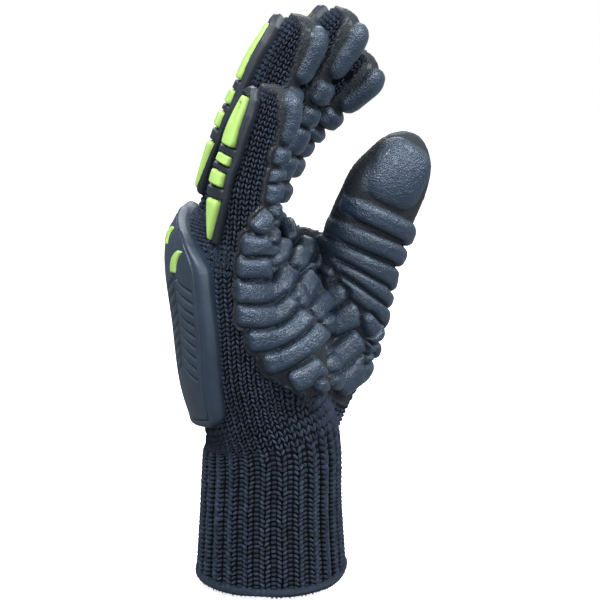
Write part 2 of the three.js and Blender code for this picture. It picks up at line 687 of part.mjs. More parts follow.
// Accents let into the plate: turn and stage of each end, and width in degrees.
const ACCENTS = [
  { name: "guard_accent_1", ends: [[127, 2.98], [131, 3.2]], width: 7 },
  { name: "guard_accent_2", ends: [[113, 3.3], [114, 3.56]], width: 6 },
  { name: "guard_accent_3", ends: [[80, 3.3], [78, 3.56]], width: 6 },
  { name: "guard_accent_4", ends: [[66, 2.98], [61, 3.2]], width: 7 },
];
const ACCENT_DEPTH = 2;
function accentForm({ ends: [[turnA, stageA], [turnB, stageB]], width }, margin, low, high) {
  const along = margin / PALM_LENGTH;
  const around = (margin / PALM_WIDTH) * 120;
  const rows = [0, 0.5, 1].map((share) => {
    const half = (width / 2) * (share === 0.5 ? 1 : 0.7) + around;
    const turn = lerp(turnA, turnB, share);
    const stage = lerp(stageA - along, stageB + along, share);
    return { stage, turns: [turn - half, turn, turn + half] };
  });
  const grid = (proud) =>
    rows.map(({ stage, turns }) => turns.map((turn) => hand.skin(turn, stage, proud)));
  return solidFromGrids(grid(high), grid(low));
}
const ACCENT_BASE = GUARD_THICKNESS - ACCENT_DEPTH;
const pockets = ACCENTS.map((accent) =>
  accentForm(accent, PIECE_GAP, ACCENT_BASE, GUARD_THICKNESS + 3),
);
const guard = [...herringbone(), ...pockets].reduce((plate, cut) => plate.subtract(cut), guardPlate());
addPiece("back_guard", largest(cleared(guard)), "guard");
for (const accent of ACCENTS) {
  const inlay = accentForm(accent, 0, ACCENT_BASE + PIECE_GAP, GUARD_THICKNESS + 0.3);
  addPiece(accent.name, inlay, "accent");
}

// Finger strips: a thin base with raised bars, and a bright insert in each bay between the bars.
const STRIP_TURNS = { index: 84, middle: 92, ring: 104, little: 120 };
const STRIP_START = 0.38;
const STRIP_TIP_GAP = 5.8;
const STRIP_LIP = { start: 0.02, stop: 0.05 };
const BAYS = [
  { from: 0.42, to: 0.86, startWidth: 0.25, endWidth: 1 },
  { from: 0.96, to: 1.16, startWidth: 1, endWidth: 1 },
  { from: 1.28, to: 1.6, startWidth: 1, endWidth: 1 },
  { from: 1.72, to: 2.6, startWidth: 1, endWidth: 0.55 },
];
const INSERT_HALF_ANGLE = 27;
const STRIP_HALF_ANGLE = 42;
function stripForm(limb, middle, lastBone) {
  const start = STRIP_START;
  const stop = limb.end - STRIP_TIP_GAP / lastBone;
  const lip = { from: start + STRIP_LIP.start, to: stop - STRIP_LIP.stop };
  const bars = [lip.from, ...BAYS.flatMap(({ from, to }) => [from, to]), lip.to];
  const stages = [start, ...bars.flatMap((stage) => [stage - 0.012, stage + 0.012]), stop];
  const inBay = (stage) => BAYS.some(({ from, to }) => stage > from && stage < to);
  const outside = (stage) => stage < lip.from || stage > lip.to;
  const shares = [-1, -0.72, -0.68, 0.68, 0.72, 1];
  const height = (stage, share) => {
    if (outside(stage) || Math.abs(share) > 0.7) return STRIP_BASE;
    return inBay(stage) ? STRIP_BASE : STRIP_THICKNESS;
  };
  const grid = (proud) =>
    stages.map((stage) => {
      const half = STRIP_HALF_ANGLE * lerp(0.55, 1, clamp((stage - start) / 0.52, 0, 1));
      return shares.map((share) => limb.skin(middle + half * share, stage, proud(stage, share)));
    });
  return solidFromGrids(grid(height), grid(() => -SUNK));
}
function insertForm(limb, middle, { from, to, startWidth, endWidth }) {
  const stages = evenly(from + 0.02, to - 0.02, 2);
  const grid = (proud) =>
    stages.map((stage, r) => {
      const half = INSERT_HALF_ANGLE * lerp(startWidth, endWidth, r / 2);
      return [-half, 0, half].map((turn) => limb.skin(middle + turn, stage, proud));
    });
  return solidFromGrids(grid(STRIP_THICKNESS + 0.4), grid(STRIP_BASE + PIECE_GAP));
}
for (const { name, limb, bones } of fingers) {
  const middle = STRIP_TURNS[name];
  addPiece(`${name}_strip`, largest(cleared(stripForm(limb, middle, bones[2]))), "guard");
  BAYS.forEach((bay, i) => addPiece(`${name}_insert_${i + 1}`, insertForm(limb, middle, bay), "accent"));
}

export default glove;
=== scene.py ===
"""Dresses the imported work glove: knitted shell, foam coat with raised pads, rubber guard and strips.

Lengths are millimetres until a mesh is written. Turn goes round a limb in degrees (0 thumb side, 90 back,
180 little-finger side, 270 palm) and stage counts its bones, as in the solids that this dresses.
"""

import math

import bpy
import numpy as np
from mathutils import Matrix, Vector, noise
from mathutils.bvhtree import BVHTree
from mathutils.kdtree import KDTree


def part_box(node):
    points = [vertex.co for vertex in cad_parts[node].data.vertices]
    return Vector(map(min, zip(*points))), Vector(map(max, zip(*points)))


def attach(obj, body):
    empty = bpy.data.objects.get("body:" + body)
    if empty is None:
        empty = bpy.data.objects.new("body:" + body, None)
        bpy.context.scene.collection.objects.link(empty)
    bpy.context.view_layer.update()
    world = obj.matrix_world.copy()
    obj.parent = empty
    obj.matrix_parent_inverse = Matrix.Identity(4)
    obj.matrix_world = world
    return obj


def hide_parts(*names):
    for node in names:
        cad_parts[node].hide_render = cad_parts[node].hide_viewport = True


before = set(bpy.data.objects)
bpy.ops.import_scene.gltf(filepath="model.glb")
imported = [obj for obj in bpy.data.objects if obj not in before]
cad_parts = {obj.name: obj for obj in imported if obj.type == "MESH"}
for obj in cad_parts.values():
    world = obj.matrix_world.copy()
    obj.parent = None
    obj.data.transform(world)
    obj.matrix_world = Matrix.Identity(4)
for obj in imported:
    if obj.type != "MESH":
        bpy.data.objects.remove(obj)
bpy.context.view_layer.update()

MM = 0.001
CUFF_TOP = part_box("knit_cuff")[1].z / MM + 0.3
HEM_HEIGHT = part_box("cuff_hem")[1].z / MM

# Knit
KNIT_WALL = 2.2
WALES_HAND = 56
WALES_FINGER = 24
WALES_THUMB = 34
WALES_WEB = 26
COURSE_HAND = 2.05
COURSE_FINGER = 2.15
STITCH_PROUD = 1.15
RIB_SINK = 1.4
GROUND_SINK = 0.7

# Foam
COAT = 0.5
PALM_PAD_HEIGHT = 5.0
FINGER_PAD_HEIGHT = 4.1
THUMB_PAD_HEIGHT = 3.9
PAD_CREASE = 0.3

# Rubber
GUARD_HEIGHT = 5.4
STRIP_HEIGHT = 4.4
STRIP_BASE = 2.2

# How far off the skin a line starts that looks for it.
SETTLE = 9

# Side view, from the little finger's side and a little above. The camera stands there, and the pads that
# it sees are drawn on its plane through the target: u to the palm's side and v up, in millimetres.
VIEW_TURN, VIEW_RISE, VIEW_FAR = math.radians(-82), math.radians(11), 650
VIEW_TARGET = np.array([0, -13, 124.0])


def way_back(turn, rise):
    """The way from the object to a camera or light that stands at a turn round it and a rise over it."""
    return np.array([math.sin(turn) * math.cos(rise), -math.cos(turn) * math.cos(rise), math.sin(rise)])


VIEW_BACK = way_back(VIEW_TURN, VIEW_RISE)
VIEW_EYE = VIEW_TARGET + VIEW_FAR * VIEW_BACK
VIEW_RIGHT = np.cross(-VIEW_BACK, [0, 0, 1.0]) / math.cos(VIEW_RISE)
VIEW_UP = np.cross(VIEW_RIGHT, -VIEW_BACK)


# Limbs
def from_table(rows, stage):
    """Smooth values of a table's columns at stages between its rows."""
    rows = np.asarray(rows, float)
    at, values = rows[:, 0], rows[:, 1:]
    last = len(at) - 1
    stage = np.asarray(stage, float)
    k = np.clip(np.searchsorted(at, stage, side="right") - 1, 0, last - 1)
    index = np.arange(last + 1)
    before, after = np.maximum(index - 1, 0), np.minimum(index + 1, last)
    slope = (values[after] - values[before]) / (at[after] - at[before])[:, None]
    span = (at[k + 1] - at[k])[..., None]
    s = np.clip((stage - at[k])[..., None] / span, 0, 1)
    return (
        values[k] * (2 * s**3 - 3 * s**2 + 1)
        + values[k + 1] * (3 * s**2 - 2 * s**3)
        + span * slope[k] * (s**3 - 2 * s**2 + s)
        + span * slope[k + 1] * (s**3 - s**2)
    )


def unit(v):
    return v / np.maximum(np.linalg.norm(v, axis=-1, keepdims=True), 1e-9)


def turned(v, axis, degrees):
    a = math.radians(degrees)
    v, axis = np.asarray(v, float), unit(np.asarray(axis, float))
    return v * math.cos(a) + np.cross(axis, v) * math.sin(a) + axis * (axis @ v) * (1 - math.cos(a))


def smooth_step(x, low, high):
    t = np.clip((x - low) / (high - low), 0, 1)
    return t * t * (3 - 2 * t)


def quarter_round(share):
    """A quarter circle's rise from 0 to 1."""
    return np.sqrt(1 - (1 - np.clip(share, 0, 1)) ** 2)


def steps_along(points, axis=0):
    """Length from the first point on, along one axis of a grid of points."""
    steps = np.linalg.norm(np.diff(points, axis=axis), axis=-1)
    first = np.zeros_like(np.take(steps, [0], axis=axis))
    return np.concatenate([first, np.cumsum(steps, axis=axis)], axis=axis)


def hermite(points, at):
    """A smooth line's points at places at, from four padded points round each."""
    k = np.minimum(at.astype(int), len(points) - 4)
    w = (at - k)[..., None]
    a, b, c, d = (points[k + i] for i in range(4))
    start, stop = (c - a) / 2, (d - b) / 2
    return b + start * w + (3 * (c - b) - 2 * start - stop) * w**2 + (2 * (b - c) + start + stop) * w**3


def padded_ends(points):
    return np.array([2 * points[0] - points[1], *points, 2 * points[-1] - points[-2]])


class Limb:
    """A tube of rounded sections along a bent spine."""

    def __init__(self, joints, side, rows, squareness, dome, swell=None):
        joints = np.asarray(joints, float)
        points = [joints[0]]
        for a, b in zip(joints, joints[1:]):
            points += [(a + b) / 2, b]
        self.points = padded_ends(points)
        self.first_bone = np.linalg.norm(joints[1] - joints[0])
        self.end = len(joints) - 1
        self.side = unit(np.asarray(side, float))
        self.rows, self.power, self.dome, self.swell = rows, 2 / squareness, dome, swell

    def spine(self, stage):
        return hermite(self.points, np.clip(stage, 0, self.end) * 2)

    def frame(self, stage):
        stage = np.asarray(stage, float)
        along = unit(self.spine(stage + 0.001) - self.spine(stage - 0.001))
        across = unit(self.side - along * (along @ self.side)[..., None])
        centre = self.spine(stage) + along * (np.minimum(stage, 0) * self.first_bone)[..., None]
        return centre, along, across, np.cross(along, across)

    def bare(self, turn, stage):
        centre, _, across, back = self.frame(stage)
        c, s = np.cos(np.radians(turn)), np.sin(np.radians(turn))
        size = from_table(self.rows, stage) / 2
        x = size[..., 0] * np.sign(c) * np.abs(c) ** self.power
        y = size[..., 1] * np.sign(s) * np.abs(s) ** self.power
        if self.swell is not None:
            y = y + self.swell(c, s, stage)
        past = np.clip((stage - self.dome) / (self.end - self.dome), 0, 1)
        shrink = np.sqrt(np.maximum(1 - past**2, 0))
        return centre + across * (x * shrink)[..., None] + back * (y * shrink)[..., None]

    def normal(self, turn, stage):
        at = np.minimum(stage, self.end - 0.02)
        around = self.bare(turn + 1.0, at) - self.bare(turn - 1.0, at)
        up = self.bare(turn, at + 0.01) - self.bare(turn, at - 0.01)
        return unit(np.cross(around, up))

    def skin(self, turn, stage, proud=0.0):
        turn, stage = np.broadcast_arrays(np.asarray(turn, float), np.asarray(stage, float))
        return self.bare(turn, stage) + self.normal(turn, stage) * np.asarray(proud, float)[..., None]


def joints_of(start, side, bones, leans):
    side = unit(np.asarray(side, float))
    ahead = unit(np.array([0, 0, 1.0]) - side * side[2])
    joints = [np.asarray(start, float)]
    for bone, lean in zip(bones, leans):
        joints.append(joints[-1] + turned(ahead, side, lean) * bone)
    return joints


PALM_WIDTH, PALM_DEPTH, PALM_LENGTH = 92, 36, 83
CUFF_WIDTH, CUFF_DEPTH = 68, 62
PALM_CUP, HEEL_BULGE = 14, 9
ACROSS = np.array([1.0, 0, 0])


def hand_swell(c, s, stage):
    cup = -PALM_CUP * c * c * np.clip((stage - 1.2) / 1.8, 0, 1)
    heel = HEEL_BULGE * np.exp(-(((c + 0.42) / 0.45) ** 2) - ((stage - 2.1) / 0.75) ** 2)
    return cup - np.maximum(-s, 0) * heel


def placed(share):
    return np.array([share[0] * PALM_WIDTH, share[1] * PALM_DEPTH, CUFF_TOP + share[2] * PALM_LENGTH])


HAND_ROWS = [
    (0.0, 1.03 * CUFF_WIDTH, 1.07 * CUFF_DEPTH),
    (0.5, 1.0 * CUFF_WIDTH, 1.0 * CUFF_DEPTH),
    (1.0, 0.98 * CUFF_WIDTH, 0.95 * CUFF_DEPTH),
    (1.4, 0.78 * PALM_WIDTH, 1.38 * PALM_DEPTH),
    (2.0, 0.9 * PALM_WIDTH, 1.22 * PALM_DEPTH),
    (2.5, 0.98 * PALM_WIDTH, 1.1 * PALM_DEPTH),
    (3.0, 1.0 * PALM_WIDTH, 1.0 * PALM_DEPTH),
    (4.0, 0.97 * PALM_WIDTH, 0.8 * PALM_DEPTH),
]
HAND_BONES = [CUFF_TOP, 35, 48, 26]
hand = Limb(
    joints_of((0, 0, 0), ACROSS, HAND_BONES, [0, -22, -11, 2]),
    ACROSS, HAND_ROWS, 2.25, 3.3, hand_swell,
)

# Name: knuckle's place, bones, leans, splay, roll, width.
FINGERS = {
    "index": ((0.395, 0.56, 1.09), (46, 27, 25), (27, 49, 54), 4, -6, 21),
    "middle": ((0.135, 0.61, 1.08), (50, 32, 28), (26, 31, 38), 1, 0, 21.5),
    "ring": ((-0.135, 0.56, 1.06), (46, 30, 26), (17, 23, 30), -2, 8, 21),
    "little": ((-0.39, 0.2, 0.94), (37, 22, 21), (4, 14, 20), -7, 18, 20.5),
}
FINGER_ROWS = [
    (0.0, 1.0, 1.16),
    (0.5, 1.0, 1.16),
    (1.0, 0.99, 1.12),
    (1.5, 0.95, 1.03),
    (2.0, 0.94, 0.98),
    (2.5, 0.9, 0.92),
    (3.0, 0.86, 0.88),
]


def finger_limb(knuckle, bones, leans, splay, roll, width):
    side = turned(turned(ACROSS, (0, 0, 1), roll), (0, 1, 0), splay)
    rows = [(stage, width * wide, width * deep) for stage, wide, deep in FINGER_ROWS]
    joints = joints_of(placed(knuckle), side, bones, leans)
    return Limb(joints, side, rows, 2.15, 3 - 0.46 * width / bones[2])


fingers = {name: finger_limb(*row) for name, row in FINGERS.items()}

THUMB_JOINTS = [(0.22, -0.2, 0.04), (0.34, -0.79, 0.52), (0.35, -1.05, 0.98), (0.3, -1.64, 1.59)]
THUMB_WIDTH, THUMB_DEPTH, THUMB_FACING = 36, 29, -58
THUMB_ROWS = [
    (0.0, 1.2, 1.15),
    (0.5, 1.04, 1.06),
    (1.0, 0.91, 0.93),
    (1.6, 0.87, 0.9),
    (2.0, 0.93, 0.92),
    (2.5, 0.93, 0.88),
    (3.0, 0.9, 0.8),
]
thumb = Limb(
    [placed(joint) for joint in THUMB_JOINTS],
    turned(ACROSS, (0, 0, 1), THUMB_FACING),
    [(stage, THUMB_WIDTH * wide, THUMB_DEPTH * deep) for stage, wide, deep in THUMB_ROWS],
    2.3, 2.55,
)
WEB_JOINTS = [(0.26, 0.1, 0.3), (0.34, -0.15, 0.7), (0.36, -0.34, 1.06)]
WEB_ROWS = [(0, 24, 44), (1, 22, 42), (2, 16, 36)]
web = Limb([placed(joint) for joint in WEB_JOINTS], ACROSS, WEB_ROWS, 2.2, 1.5)
limbs = {"hand": hand, "web": web, "thumb": thumb, **fingers}

# The full flesh of the palm's outer edge, which only fills the skin under the pads.
OUTER_PALM = Limb(
    [(-15, -9, 78), (-18, -13, 96), (-19, -12, 109), (-20, -5, 122), (-20, 1, 139)],
    ACROSS, [(0, 22, 22), (1, 29, 27), (2, 28, 27), (3, 24, 24), (4, 20, 22)], 2.1, 3.2,
)
# The palm's middle and its heel, which keep the hollow between that edge and the thumb's ball shallow.
MIDDLE_PALM = Limb(
    [(0, -10, 98), (2, -9, 114), (4, -3, 129), (4, 4, 145)],
    (0.89, -0.45, 0), [(0, 36, 22), (1, 42, 23), (2, 40, 22), (3, 34, 20)], 2.1, 2.2,
)
HEEL = Limb(
    [(-18, -13, 89), (-2, -17, 88), (16, -23, 90)],
    (0, 0, 1), [(0, 20, 17), (1, 21, 18), (2, 20, 18)], 2.1, 1.2,
)


# Meshes
def use(piece):
    bpy.ops.object.select_all(action="DESELECT")
    piece.select_set(True)
    bpy.context.view_layer.objects.active = piece
    return piece


def coords(piece):
    co = np.empty(len(piece.data.vertices) * 3, np.float32)
    piece.data.vertices.foreach_get("co", co)
    return co.reshape(-1, 3).astype(float) / MM


def set_coords(piece, points):
    piece.data.vertices.foreach_set("co", (points * MM).astype(np.float32).ravel())
    piece.data.update()


def vertex_normals(piece):
    out = np.empty(len(piece.data.vertices) * 3, np.float32)
    piece.data.vertex_normals.foreach_get("vector", out)
    return out.reshape(-1, 3).astype(float)


def modify(piece, kind, **settings):
    use(piece)
    modifier = piece.modifiers.new(kind.title(), kind)
    for key, value in settings.items():
        setattr(modifier, key, value)
    bpy.ops.object.modifier_apply(modifier=modifier.name)
    return piece


def edited(piece, step, **settings):
    """Takes one step on the whole mesh in edit mode."""
    use(piece)
    bpy.ops.object.mode_set(mode="EDIT")
    bpy.ops.mesh.select_all(action="SELECT")
    step(**settings)
    bpy.ops.object.mode_set(mode="OBJECT")
    return piece


def shade(piece, angle=None):
    use(piece)
    if angle is None:
        bpy.ops.object.shade_smooth()
    else:
        bpy.ops.object.shade_smooth_by_angle(angle=math.radians(angle))
    return piece


def outward(piece):
    return edited(piece, bpy.ops.mesh.normals_make_consistent, inside=False)


def joined(pieces, name):
    bpy.ops.object.select_all(action="DESELECT")
    for piece in pieces:
        piece.select_set(True)
    bpy.context.view_layer.objects.active = pieces[0]
    if len(pieces) > 1:
        bpy.ops.object.join()
    pieces[0].name = pieces[0].data.name = name
    return pieces[0]


def limb_body(limb, first, last):
    """A ball drawn out along a limb: its rings become sections and its poles the two ends."""
    bpy.ops.object.select_all(action="DESELECT")
    bpy.ops.mesh.primitive_uv_sphere_add(segments=64, ring_count=56, radius=1)
    ball = bpy.context.active_object
    co = coords(ball) * MM
    share = 1 - np.arccos(np.clip(co[:, 2], -1, 1)) / math.pi
    turn = np.degrees(np.arctan2(co[:, 1], co[:, 0]))
    pole = np.hypot(co[:, 0], co[:, 1]) < 1e-4
    stage = first + (last - first) * (1 - (1 - share) ** 1.35)
    points = limb.bare(turn, stage)
    points[pole] = limb.frame(stage[pole])[0]
    set_coords(ball, points)
    return outward(ball)


def copied(piece, name):
    other = piece.copy()
    other.data = piece.data.copy()
    other.name = other.data.name = name
    bpy.context.collection.objects.link(other)
    return other


def tree_of(piece):
    return BVHTree.FromObject(piece, bpy.context.evaluated_depsgraph_get())


def sheet(name, rows, columns, place):
    """A grid shaped by place(v, u) with v and u from 0 to 1."""
    bpy.ops.object.select_all(action="DESELECT")
    bpy.ops.mesh.primitive_grid_add(x_subdivisions=columns, y_subdivisions=rows, size=1)
    piece = bpy.context.active_object
    piece.name = piece.data.name = name
    co = coords(piece) * MM + 0.5
    set_coords(piece, place(co[:, 1], co[:, 0]))
    return piece


# Skin under the knit
def make_skin():
    spans = [(hand, -0.3), (web, 0), (thumb, 0), (OUTER_PALM, 0), (MIDDLE_PALM, 0), (HEEL, 0)]
    spans += [(limb, 0) for limb in fingers.values()]
    bodies = [limb_body(limb, first, limb.end) for limb, first in spans]
    skin = joined(bodies, "skin")
    modify(skin, "REMESH", mode="VOXEL", voxel_size=1.15 * MM)
    modify(skin, "SMOOTH", factor=0.5, iterations=20)
    return shade(skin)


skin = make_skin()
skin_tree = tree_of(skin)


def settle(points, normals):
    """Points dropped onto the skin along their normals: places, skin normals and how far each one moved."""
    found, facing, moved = points.copy(), normals.copy(), np.full(len(points), 99.0)
    for i, (p, n) in enumerate(zip(points, normals)):
        start = Vector((p + n * SETTLE) * MM)
        spot, normal, _, far = skin_tree.ray_cast(start, Vector(-n), 2.2 * SETTLE * MM)
        if spot is not None:
            found[i], facing[i], moved[i] = np.array(spot) / MM, normal, abs(far / MM - SETTLE)
    return found, facing, moved


def finder():
    samples, labels = [], []
    spans = {"hand": (0, 3.97, 150, 200), "web": (0, 1.97, 60, 60), "thumb": (0, 2.99, 110, 110)}
    for name, limb in limbs.items():
        first, last, rows, columns = spans.get(name, (0, 2.99, 100, 72))
        stages, turns = np.linspace(first, last, rows), np.linspace(0, 360, columns, False)
        stage, turn = np.meshgrid(stages, turns, indexing="ij")
        samples.append(limb.bare(turn.ravel(), stage.ravel()))
        labels += [(name, t, s) for t, s in zip(turn.ravel(), stage.ravel())]
    samples = np.concatenate(samples)
    tree = KDTree(len(samples))
    for i, point in enumerate(samples):
        tree.insert(point, i)
    tree.balance()
    return tree, labels


limb_tree, limb_labels = finder()


def where(points):
    """For each point: the limb it lies on, and its turn and stage there."""
    found = [limb_labels[limb_tree.find(p)[1]] for p in points]
    return np.array([f[0] for f in found]), np.array([f[1] for f in found]), np.array([f[2] for f in found])


# Foam
PALM_FOAM = [
    (1.35, 236, 300), (1.7, 217, 318), (2.05, 204, 330), (2.4, 190, 340),
    (2.75, 185, 344), (3.1, 184, 344), (3.45, 185, 342), (3.75, 192, 338),
]
FINGER_FOAM = [
    (0.2, 210, 336), (0.9, 213, 332), (1.5, 210, 334),
    (2.1, 201, 344), (2.6, 186, 358), (3.0, 166, 374),
]
THUMB_FOAM = [(0.3, 190, 320), (1.0, 160, 340), (1.6, 135, 352), (2.2, 118, 360), (3.0, 96, 396)]
WEB_FOAM = [(0, 120, 300), (2, 96, 320)]
FOAM_BOUNDS = {"hand": PALM_FOAM, "thumb": THUMB_FOAM, "web": WEB_FOAM}
FOAM_BOUNDS.update({name: FINGER_FOAM for name in fingers})
# Lengths that a degree of turn and a stage come to on a finger, and the first of them on the other limbs.
FINGER_DEGREE = 0.185
FINGER_STAGE = 34
MM_PER_DEGREE = {"hand": 0.62, "thumb": 0.28, "web": 0.3, **{name: FINGER_DEGREE for name in fingers}}

# Pads on the side view: width, and u and v of points along each.
SEEN_PADS = [
    (7.4, [(-17.0, 31.0), (-10.5, 36.2)]),
    (8.9, [(-21.8, 23.1), (-11.3, 24.0)]),
    (9.0, [(-24.0, 13.5), (-14.8, 13.5)]),
    (9.4, [(-24.4, 3.1), (-16.6, 3.1), (-9.2, 5.2), (-4.4, 13.1)]),
    (9.0, [(-24.0, -7.4), (-15.3, -7.4), (-8.7, -5.2), (-4.8, -0.9)]),
    (8.9, [(-18.8, -18.3), (-8.7, -16.6), (-1.7, -12.2), (2.2, -7.4)]),
    (8.9, [(-11.8, -27.9), (-4.4, -24.4), (3.5, -19.6), (9.5, -14.1)]),
    (9.0, [(-0.9, -35.8), (4.4, -33.2), (8.6, -30.2)]),
    (5.8, [(9.4, -37.3), (11.0, -37.0)]),
    (10.9, [(19.6, -36.6), (29.2, -29.2)]),
    (10.9, [(16.6, -26.2), (24.9, -19.6)]),
    (10.6, [(16.1, -9.9), (22.8, -7.4)]),
    (9.2, [(8.1, -5.7), (17.9, 5.2)]),
    (8.7, [(0.6, 1.2), (6.5, 10.9)]),
    (8.2, [(7.9, 16.1), (11.3, 12.2)]),
    (9.0, [(0.8, 16.6), (3.5, 24.9)]),
    (7.2, [(-9.0, 17.8), (-6.8, 24.9)]),
    (6.2, [(-6.5, 37.1), (-3.5, 28.4)]),
    (6.2, [(30.4, -8.6), (33.0, -13.4)]),
    (6.0, [(32.6, -20.5), (32.8, -23.5)]),
]
# Thumb ridges on the side view: width, left end and right end. They run on round the thumb's far side.
THUMB_RIDGES = [
    (7.9, (21.8, 41.9), (51.0, 27.9)),
    (7.6, (14.8, 32.3), (46.2, 18.8)),
    (7.4, (10.6, 24.6), (41.9, 9.2)),
    (7.4, (13.5, 17.8), (37.5, 0.9)),
    (7.4, (18.8, 9.0), (35.3, -4.8)),
]
# Degrees that a ridge runs on past what the side view shows.
THUMB_WRAP = 34
THUMB_TIP = (14.2, [(46.6, 58.5), (42.5, 50.5)])
# Pads that face away from the side view: limb, width, and turn and stage of points along each.
FAR_PADS = [
    ("hand", 8.0, [(308, 3.12), (330, 3.2)]),
    ("hand", 8.0, [(306, 2.88), (328, 2.94)]),
    ("thumb", 8.5, [(300, 0.74), (316, 0.9)]),
    ("thumb", 8.0, [(300, 0.98), (318, 1.08)]),
]
PALM_ROWS, PALM_ROW_STEP = 7, 0.2
for row in range(PALM_ROWS):
    down = PALM_ROW_STEP * row
    FAR_PADS.append(("hand", 9, [(236, 3.12 - down), (257, 3.16 - down)]))
    FAR_PADS.append(("hand", 9, [(268, 3.24 - down), (288, 3.32 - down)]))
# First and last stage of each cross pad.
FINGER_PADS = [(0.36, 0.55), (0.62, 0.84), (0.89, 1.16), (1.22, 1.52), (1.58, 1.9)]


def on_view(points):
    """Where points show on the side view, as flat points with a third coordinate of nought."""
    away = points - VIEW_EYE
    scale = VIEW_FAR / (away @ -VIEW_BACK)
    return np.stack([away @ VIEW_RIGHT * scale, away @ VIEW_UP * scale, 0 * scale], axis=-1)


def seen(u, v):
    """The place on the skin that the side view shows at (u, v), or just inside its outline there."""
    for step in range(12):
        way = unit(VIEW_TARGET + VIEW_RIGHT * (u - step) + VIEW_UP * v - VIEW_EYE)
        spot = skin_tree.ray_cast(Vector(VIEW_EYE * MM), Vector(way), 2)[0]
        if spot is not None:
            return np.array(spot) / MM
    raise ValueError(f"nothing shows at {u}, {v} on the side view")


def seen_track(points, steps=10):
    """Places on the skin along a line drawn on the side view, as far as they lie on one slope."""
    found = [seen(*p) for p in smooth_line(points, steps)]
    middle = found[len(found) // 2]
    return np.array([p for p in found if abs(p[0] - middle[0]) < 14])


def smooth_line(points, steps):
    """A smooth line through a few points."""
    points = np.array(points, float)
    return hermite(padded_ends(points), np.linspace(0, len(points) - 1, steps))


def track_of(limb, points, steps=14):
    """Places on the skin along a smooth line through a few points of turn and stage."""
    line = smooth_line(points, steps)
    places = limb.skin(line[:, 0], line[:, 1])
    return np.array([skin_tree.find_nearest(Vector(p * MM))[0] for p in places]) / MM


def within(track, half, overhang, points):
    """How far points lie inside a pad's outline: a band with round corners along a track."""
    lengths = np.linalg.norm(np.diff(track, axis=0), axis=1)
    before = steps_along(track)
    best = np.full(len(points), 1e9)
    along = np.zeros(len(points))
    last = len(lengths) - 1
    for i, (a, b) in enumerate(zip(track, track[1:])):
        way = (b - a) / max(lengths[i], 1e-6)
        t = np.clip((points - a) @ way, -20 if i == 0 else 0, lengths[i] + (20 if i == last else 0))
        away = np.linalg.norm(points - a - t[:, None] * way, axis=1)
        nearer = away < best
        best = np.where(nearer, away, best)
        along = np.where(nearer, before[i] + t, along)
    beyond = np.maximum(-along, along - before[-1])
    corner = 0.6 * half
    side, end = best - (half - corner), beyond - (overhang - corner)
    return corner - np.hypot(np.maximum(side, 0), np.maximum(end, 0)) - np.minimum(np.maximum(side, end), 0)


class Pad:
    """A raised pad along a track: on the skin itself, or drawn on the side view where that is given."""

    def __init__(self, track, half, overhang, height, drawn=None, gives_way=False):
        self.track, self.half, self.overhang, self.height = track, half, overhang, height
        self.drawn, self.gives_way = drawn, gives_way
        if drawn is not None:
            self.drawn = np.hstack([smooth_line(drawn, 12), np.zeros((12, 1))])

    def inside(self, points, facing):
        """Which points may lie on the pad, and how far inside its outline each of those lies."""
        far_out = np.ptp(self.track, axis=0).max() + self.half + (9 if self.drawn is not None else 5)
        on = np.linalg.norm(points - self.track.mean(0), axis=1) < far_out
        if self.drawn is None:
            depth = within(self.track, self.half, self.overhang, points[on])
            return on, depth - 9 * self.seen_from(facing[on])
        on &= facing @ VIEW_BACK > -0.35
        shown = on_view(points[on] + facing[on] * 0.75 * self.height)
        away = smooth_step(-facing[on] @ VIEW_BACK, 0.12, 0.35)
        return on, within(self.drawn, self.half, self.overhang, shown) - 5 * away

    def seen_from(self, facing):
        """How far points turn to the side view, where a pad for the other sides has to give way."""
        return smooth_step(facing @ VIEW_BACK, -0.5, -0.3) if self.gives_way else 0


def pads():
    rows = []
    for wide, points in SEEN_PADS:
        half = wide / 2 + 0.75
        rows.append(Pad(seen_track(points), half, 0.72 * half, PALM_PAD_HEIGHT, points))
    for name, wide, points in FAR_PADS:
        track = track_of(limbs[name], points)
        rows.append(Pad(track, wide / 2, wide / 3, PALM_PAD_HEIGHT - 1, gives_way=name == "hand"))
    for wide, left, right in THUMB_RIDGES:
        places = seen_track([left, right], 12)
        _, turn, stage = where(places)
        slope = (stage[-1] - stage[2]) / (turn[-1] - turn[2])
        further = [k * THUMB_WRAP for k in (0.25, 0.6, 1)]
        ahead = [(turn[-1] + more, stage[-1] + more * slope) for more in further]
        track = np.vstack([places, track_of(thumb, ahead, 5)])
        rows.append(Pad(track, wide / 2 + 0.7, wide / 2, THUMB_PAD_HEIGHT))
    half, points = THUMB_TIP
    rows.append(Pad(seen_track(points), half, 0.72 * half, THUMB_PAD_HEIGHT - 1))
    for name, limb in fingers.items():
        bones = FINGERS[name][1]
        for low, high in FINGER_PADS:
            half = (high - low) / 2 * bones[int(low)] * 1.08
            middle = (low + high) / 2
            track = track_of(limb, [(226, middle), (270, middle), (314, middle)])
            rows.append(Pad(track, half, 2.6, FINGER_PAD_HEIGHT))
        rows.append(Pad(track_of(limb, [(268, 2.2), (268, 2.5), (268, 2.8)]), 8.4, 4.8, FINGER_PAD_HEIGHT))
    return rows


def pillow(inside, half):
    """A pad's height over its middle's, from how far a point lies inside it."""
    return (1 - (1 - np.clip(inside / (0.8 * half), 0, 1)) ** 2.3) ** 0.45


def wavering(points, size, seed):
    """Soft noise of about one, over lumps so many millimetres across."""
    shift = Vector((seed * 13.7, seed * 5.1, seed * 9.3))
    return np.array([noise.noise(Vector(p / size) + shift) for p in points])


